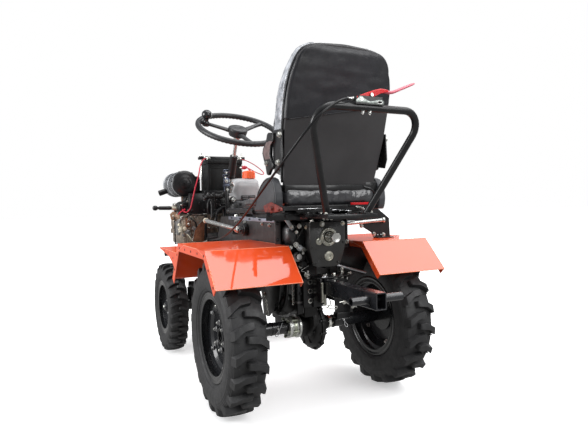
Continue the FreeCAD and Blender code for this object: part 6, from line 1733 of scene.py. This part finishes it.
def wheel_hw(s, tag):
    Z0 = 282.5
    g = G("rear_wheel_bolts_" + tag, "wheel_rear_" + tag, ["boltgrey" if s > 0 else "boltpink", "zinc", "deep_black_hole_shade", "rim", "steel", "rim_lip_shade_copy"], "steel")
    yo = s * 363.2
    yi = s * 357.8
    # nuts on the outer face, bolt heads on the inner face
    for k in range(6):
        a = math.radians(60 * k + 20)
        x, z = 50 * math.cos(a), Z0 + 50 * math.sin(a)
        g.hexb((x, yo + s * 7.5, z), (0, s, 0), 13, 7, 0, turn=k)
        g.cyl((x, yo + s * 12, z), (x, yo + s * 20, z), 4.2, 14, 1)
    for k in range(5):
        a = math.radians(72 * k - 35)
        x, z = 118 * math.cos(a), Z0 + 118 * math.sin(a)
        g.hexb((x, yo + s * 6.6, z), (0, s, 0), 12, 6, 0, turn=k)
        g.hexb((x, yi - s * 4.4, z), (0, -s, 0), 13, 7, 0, turn=k)
    # hub: a ring, with a near-black disc and ring painting the shade in the bore
    g.ring((0, yo, Z0), (0, yo + s * 9.5, Z0), 31, 26.2, 44, 3)
    g.cyl((0, s * 350, Z0), (0, s * 356, Z0), 18.8, 28, 2, 0.4)
    g.lathe([(0, 19.2), (0, 26), (1.2, 26.2), (1.2, 19.2)], (0, yo + s * 8.2, Z0), (0, s, 0), 40, 2, closed=True)
    # valve
    a = math.radians(100)
    g.cyl((122 * math.cos(a), yo - s * 2, Z0 + 122 * math.sin(a)), (120 * math.cos(a), yo + s * 26, Z0 + 120 * math.sin(a)), 4.2, 14, 3)
    g.cyl((120 * math.cos(a), yo + s * 24, Z0 + 120 * math.sin(a)), (119.6 * math.cos(a), yo + s * 32, Z0 + 119.6 * math.sin(a)), 4.8, 12, 1)
    # rolled rim lips over the beads, in a darker copy of the rim enamel: painted shade
    lip = [(0, 166.5), (1.8, 166.6), (3.6, 164.6), (4.0, 161.4), (2.6, 158.6), (1.1, 156.0), (0.8, 150.5), (2.0, 148.0), (2.4, 145.4), (1.4, 142.0), (0.4, 139.6), (0, 139.6)]
    for q in (1, -1):
        g.lathe(lip, (0, s * 350 + q * LIPR, Z0), (0, q, 0), 112, 5, closed=True)
    g.make(sharp=40)
    # front wheels
    Zf = 229.0
    g = G("front_wheel_bolts_" + tag, "wheel_front_" + tag, ["boltgrey", "zinc", "deep_black_hole_shade", "rim", "steel", "rim_lip_shade_copy"], "steel")
    yf = s * 344.0
    for k in range(4):
        a = math.radians(90 * k + 30)
        x, z = 920 + 45 * math.cos(a), Zf + 45 * math.sin(a)
        g.hexb((x, yf + s * 11.5, z), (0, s, 0), 12, 5, 0, turn=k)
        g.hexb((x, yf - s * 8, z), (0, -s, 0), 12, 6, 0, turn=k)
    # bosses round the front hub; each carries a small near-black disc painting the shade of its stud hole
    for k in range(8):
        a = math.radians(45 * k + 10)
        x, z = 920 + 88 * math.cos(a), Zf + 88 * math.sin(a)
        g.cyl((x, yf + s * 8.5, z), (x, yf + s * 12, z), 6.6, 18, 3, 0.6)
        g.cyl((x, yf + s * 11, z), (x, yf + s * 12.4, z), 4.6, 16, 2, 0.2)
    g.cyl((920, yf + s * 33, Zf), (920, yf + s * 38, Zf), 20, 32, 3, 2)
    g.hexb((920, yf + s * 36, Zf), (0, s, 0), 16, 7, 1)
    a = math.radians(80)
    g.cyl((920 + 104 * math.cos(a), yf + s * 4, Zf + 104 * math.sin(a)), (920 + 102 * math.cos(a), yf + s * 28, Zf + 102 * math.sin(a)), 4, 14, 3)
    # front rim lips in the same darker rim enamel copy: painted shade
    lip = [(0, 141.4), (1.4, 141.4), (2.9, 139.8), (3.1, 137.2), (2.0, 134.6), (0.9, 132.0), (0.6, 126.5), (1.6, 123.8), (1.9, 121.4), (1.0, 118.0), (0.3, 114.8), (0, 114.8)]
    for q in (1, -1):
        g.lathe(lip, (920, s * 350 + q * LIPF, Zf), (0, q, 0), 96, 5, closed=True)
    g.make(sharp=40)


LIPR, LIPF = 52.5, 38.2
wheel_hw(1, "left")
wheel_hw(-1, "right")


# ------------------------------------------------------------------ fender edges and holes
M["foldline"] = mat("fold_highlight", (0.93, 0.26, 0.13), 0.30, coat=0.6, coat_r=0.08, spec=0.3, vary=0.1, scale=40, rvary=0.05)


def fender_trim(s, tag):
    g = G("fender_trim_" + tag, "chassis", ["foldline", "deep_black_hole_shade", "black", "zinc"], "orange_paint")
    FP = [(330, 462), (222, 616), (-153, 616), (-264, 500)]
    r = 1.5
    # rounded folds down the flange edge and across each bend, in paler orange: painted highlight along the bends
    for y in (468.0, 158.0):
        yy = s * (y - 0.9 if y > 300 else y + 0.9)
        g.tube([(x, yy, z - 0.8) for x, z in FP], r, 8, 0, round_=1)
    for x, z in FP[1:3]:
        g.tube([(x, s * 159, z - 1.1), (x, s * 467, z - 1.1)], r, 8, 0, round_=1)
    x, z = FP[3]
    g.tube([(x - 0.2, s * 160, z - 0.2), (x - 0.2, s * 466, z - 0.2)], 1.5, 8, 0, round_=1)
    x, z = FP[0]
    g.tube([(x + 0.2, s * 160, z - 0.2), (x + 0.2, s * 466, z - 0.2)], 1.5, 8, 0, round_=1)
    # near-black discs on the flanges: painted shade of their holes
    for x, z in ((196, 600), (112, 600), (24, 600), (-62, 600), (-140, 598), (240, 570), (286, 505), (-190, 555), (-240, 505)):
        g.cyl((x, s * 464.6, z), (x, s * 468.5, z), 4.6, 18, 1, 0.2)
    for x, z in ((500, 566), (420, 562), (330, 548)):
        g.cyl((x, s * 460.5, z), (x, s * 464.5, z), 4.0, 16, 1, 0.2)
    # step edge folds, in the same paler orange: painted highlight
    g.tube([(262, s * 463.4, 574.2), (600, s * 463.4, 574.2)], 1.2, 8, 0, round_=1)
    g.make(sharp=60)


fender_trim(1, "left")
fender_trim(-1, "right")

# ------------------------------------------------------------------ studio
def stage_plane(name, loc, size, rot, m, cam=False, diffuse=True):
    me = bpy.data.meshes.new(name)
    a, b = size[0] / 2, size[1] / 2
    me.from_pydata([(-a, -b, 0), (a, -b, 0), (a, b, 0), (-a, b, 0)], [], [(0, 1, 2, 3)])
    me.materials.append(m)
    o = bpy.data.objects.new(name, me)
    o.location = loc
    o.rotation_euler = rot
    o.visible_camera = cam
    o.visible_diffuse = diffuse
    scene.collection.objects.link(o)
    return o


fm = mat("studio_floor", (0.90, 0.90, 0.90), 0.8, spec=0.05, vary=0.004, scale=0.6, rvary=0.02)
fb = fm.node_tree.nodes["Principled BSDF"]
fb.inputs["Emission Color"].default_value = (1, 1, 1, 1)
fb.inputs["Emission Strength"].default_value = 0.42
fl = stage_plane("floor", (0, 0, -0.0008), (60, 60), (0, 0, 0), fm, cam=True, diffuse=False)
fl.visible_glossy = False


def flag(name, pts, col):
    """a dark studio flag hung overhead, seen only in reflections"""
    me = bpy.data.meshes.new(name)
    me.from_pydata([W(p) for p in pts], [], [tuple(range(len(pts)))])
    me.materials.append(mat(name + "_cloth", col, 0.9, spec=0.0, vary=0.1, scale=2))
    o = bpy.data.objects.new(name, me)
    scene.collection.objects.link(o)
    o.visible_camera = o.visible_shadow = o.visible_diffuse = o.visible_transmission = False


# drawing millimetres
flag("flag_a", [(-330, -230, 3000), (-437, -260, 3000), (-499, -272, 3000), (-537, -296, 3000), (-549, -347, 3000), (-552, -399, 3000), (-556, -457, 3000), (-580, -495, 3000), (-599, -526, 3000), (-610, -560, 3000), (-613, -597, 3000),
                (-604, -632, 3000), (-588, -658, 3000), (-560, -690, 3000), (-524, -710, 3000), (-330, -742, 3000)], (0.01, 0.01, 0.01))
flag("flag_b", [(-330, -940, 3000), (-473, -951, 3000), (-534, -954, 3000), (-552, -966, 3000), (-566, -984, 3000), (-600, -980, 3000), (-650, -976, 3000), (-680, -992, 3000), (-702, -1008, 3000), (-740, -1000, 3000), (-780, -976, 3000), (-812, -889, 3000),
                (-845, -826, 3000), (-1000, -900, 3000), (-881, -1300, 3000), (-330, -1180, 3000)], (0.01, 0.01, 0.01))


def studio_world():
    world = bpy.data.worlds.new("studio")
    scene.world = world
    world.use_nodes = True
    nt = world.node_tree
    for n in list(nt.nodes):
        nt.nodes.remove(n)
    out = nd(nt, "ShaderNodeOutputWorld", 600, 0)
    mix = nd(nt, "ShaderNodeMixShader", 400, 0)
    lp = nd(nt, "ShaderNodeLightPath", 100, 300)
    white = nd(nt, "ShaderNodeBackground", 150, -200)
    white.inputs[0].default_value = (1, 1, 1, 1)
    white.inputs[1].default_value = 1.0
    room = nd(nt, "ShaderNodeBackground", 150, 0)
    room.inputs[1].default_value = 1.0
    tc = nd(nt, "ShaderNodeTexCoord", -700, 0)
    sp = nd(nt, "ShaderNodeSeparateXYZ", -500, 0)
    mr = nd(nt, "ShaderNodeMapRange", -300, 0, in_={"From Min": -0.05, "From Max": 0.9})
    cr = nd(nt, "ShaderNodeValToRGB", -120, 0)
    cr.color_ramp.elements[0].position = 0.0
    cr.color_ramp.elements[0].color = (0.44, 0.435, 0.43, 1)
    cr.color_ramp.elements[1].position = 1.0
    cr.color_ramp.elements[1].color = (0.50, 0.51, 0.53, 1)
    e = cr.color_ramp.elements.new(0.30)
    e.color = (0.30, 0.305, 0.32, 1)
    nt.links.new(tc.outputs["Generated"], sp.inputs[0])
    nt.links.new(sp.outputs[2], mr.inputs["Value"])
    nt.links.new(mr.outputs[0], cr.inputs[0])
    nt.links.new(cr.outputs[0], room.inputs[0])
    nt.links.new(lp.outputs["Is Camera Ray"], mix.inputs[0])
    nt.links.new(room.outputs[0], mix.inputs[1])
    nt.links.new(white.outputs[0], mix.inputs[2])
    nt.links.new(mix.outputs[0], out.inputs[0])


studio_world()


def lamp(kind, name, loc, target, power, size=(1, 1), col=(1, 1, 1), angle=0.0):
    l = bpy.data.lights.new(name, kind)
    if kind == "AREA":
        l.shape = "RECTANGLE"
        l.size, l.size_y = size
    else:
        l.angle = math.radians(angle)
    l.energy = power
    l.color = col
    o = bpy.data.objects.new(name, l)
    o.location = loc
    o.rotation_euler = (Vector(target) - Vector(loc)).to_track_quat("-Z", "Y").to_euler()
    scene.collection.objects.link(o)
    return o


lamp("SUN", "soft_overhead", (-0.45, -1.1, 3.0), (0, 0, 0), 2.9, angle=70)
lamp("AREA", "left_softbox", (0.4, 3.4, 1.7), (0, 0, 0.5), 112, (2.4, 2.0))
lamp("AREA", "rear_softbox", (-3.6, -1.2, 2.2), (0, 0, 0.5), 52, (1.8, 1.8))
lamp("AREA", "front_right_softbox", (1.8, -3.0, 1.6), (0, 0, 0.5), 30, (1.6, 1.6))
scene.view_settings.view_transform = "Standard"
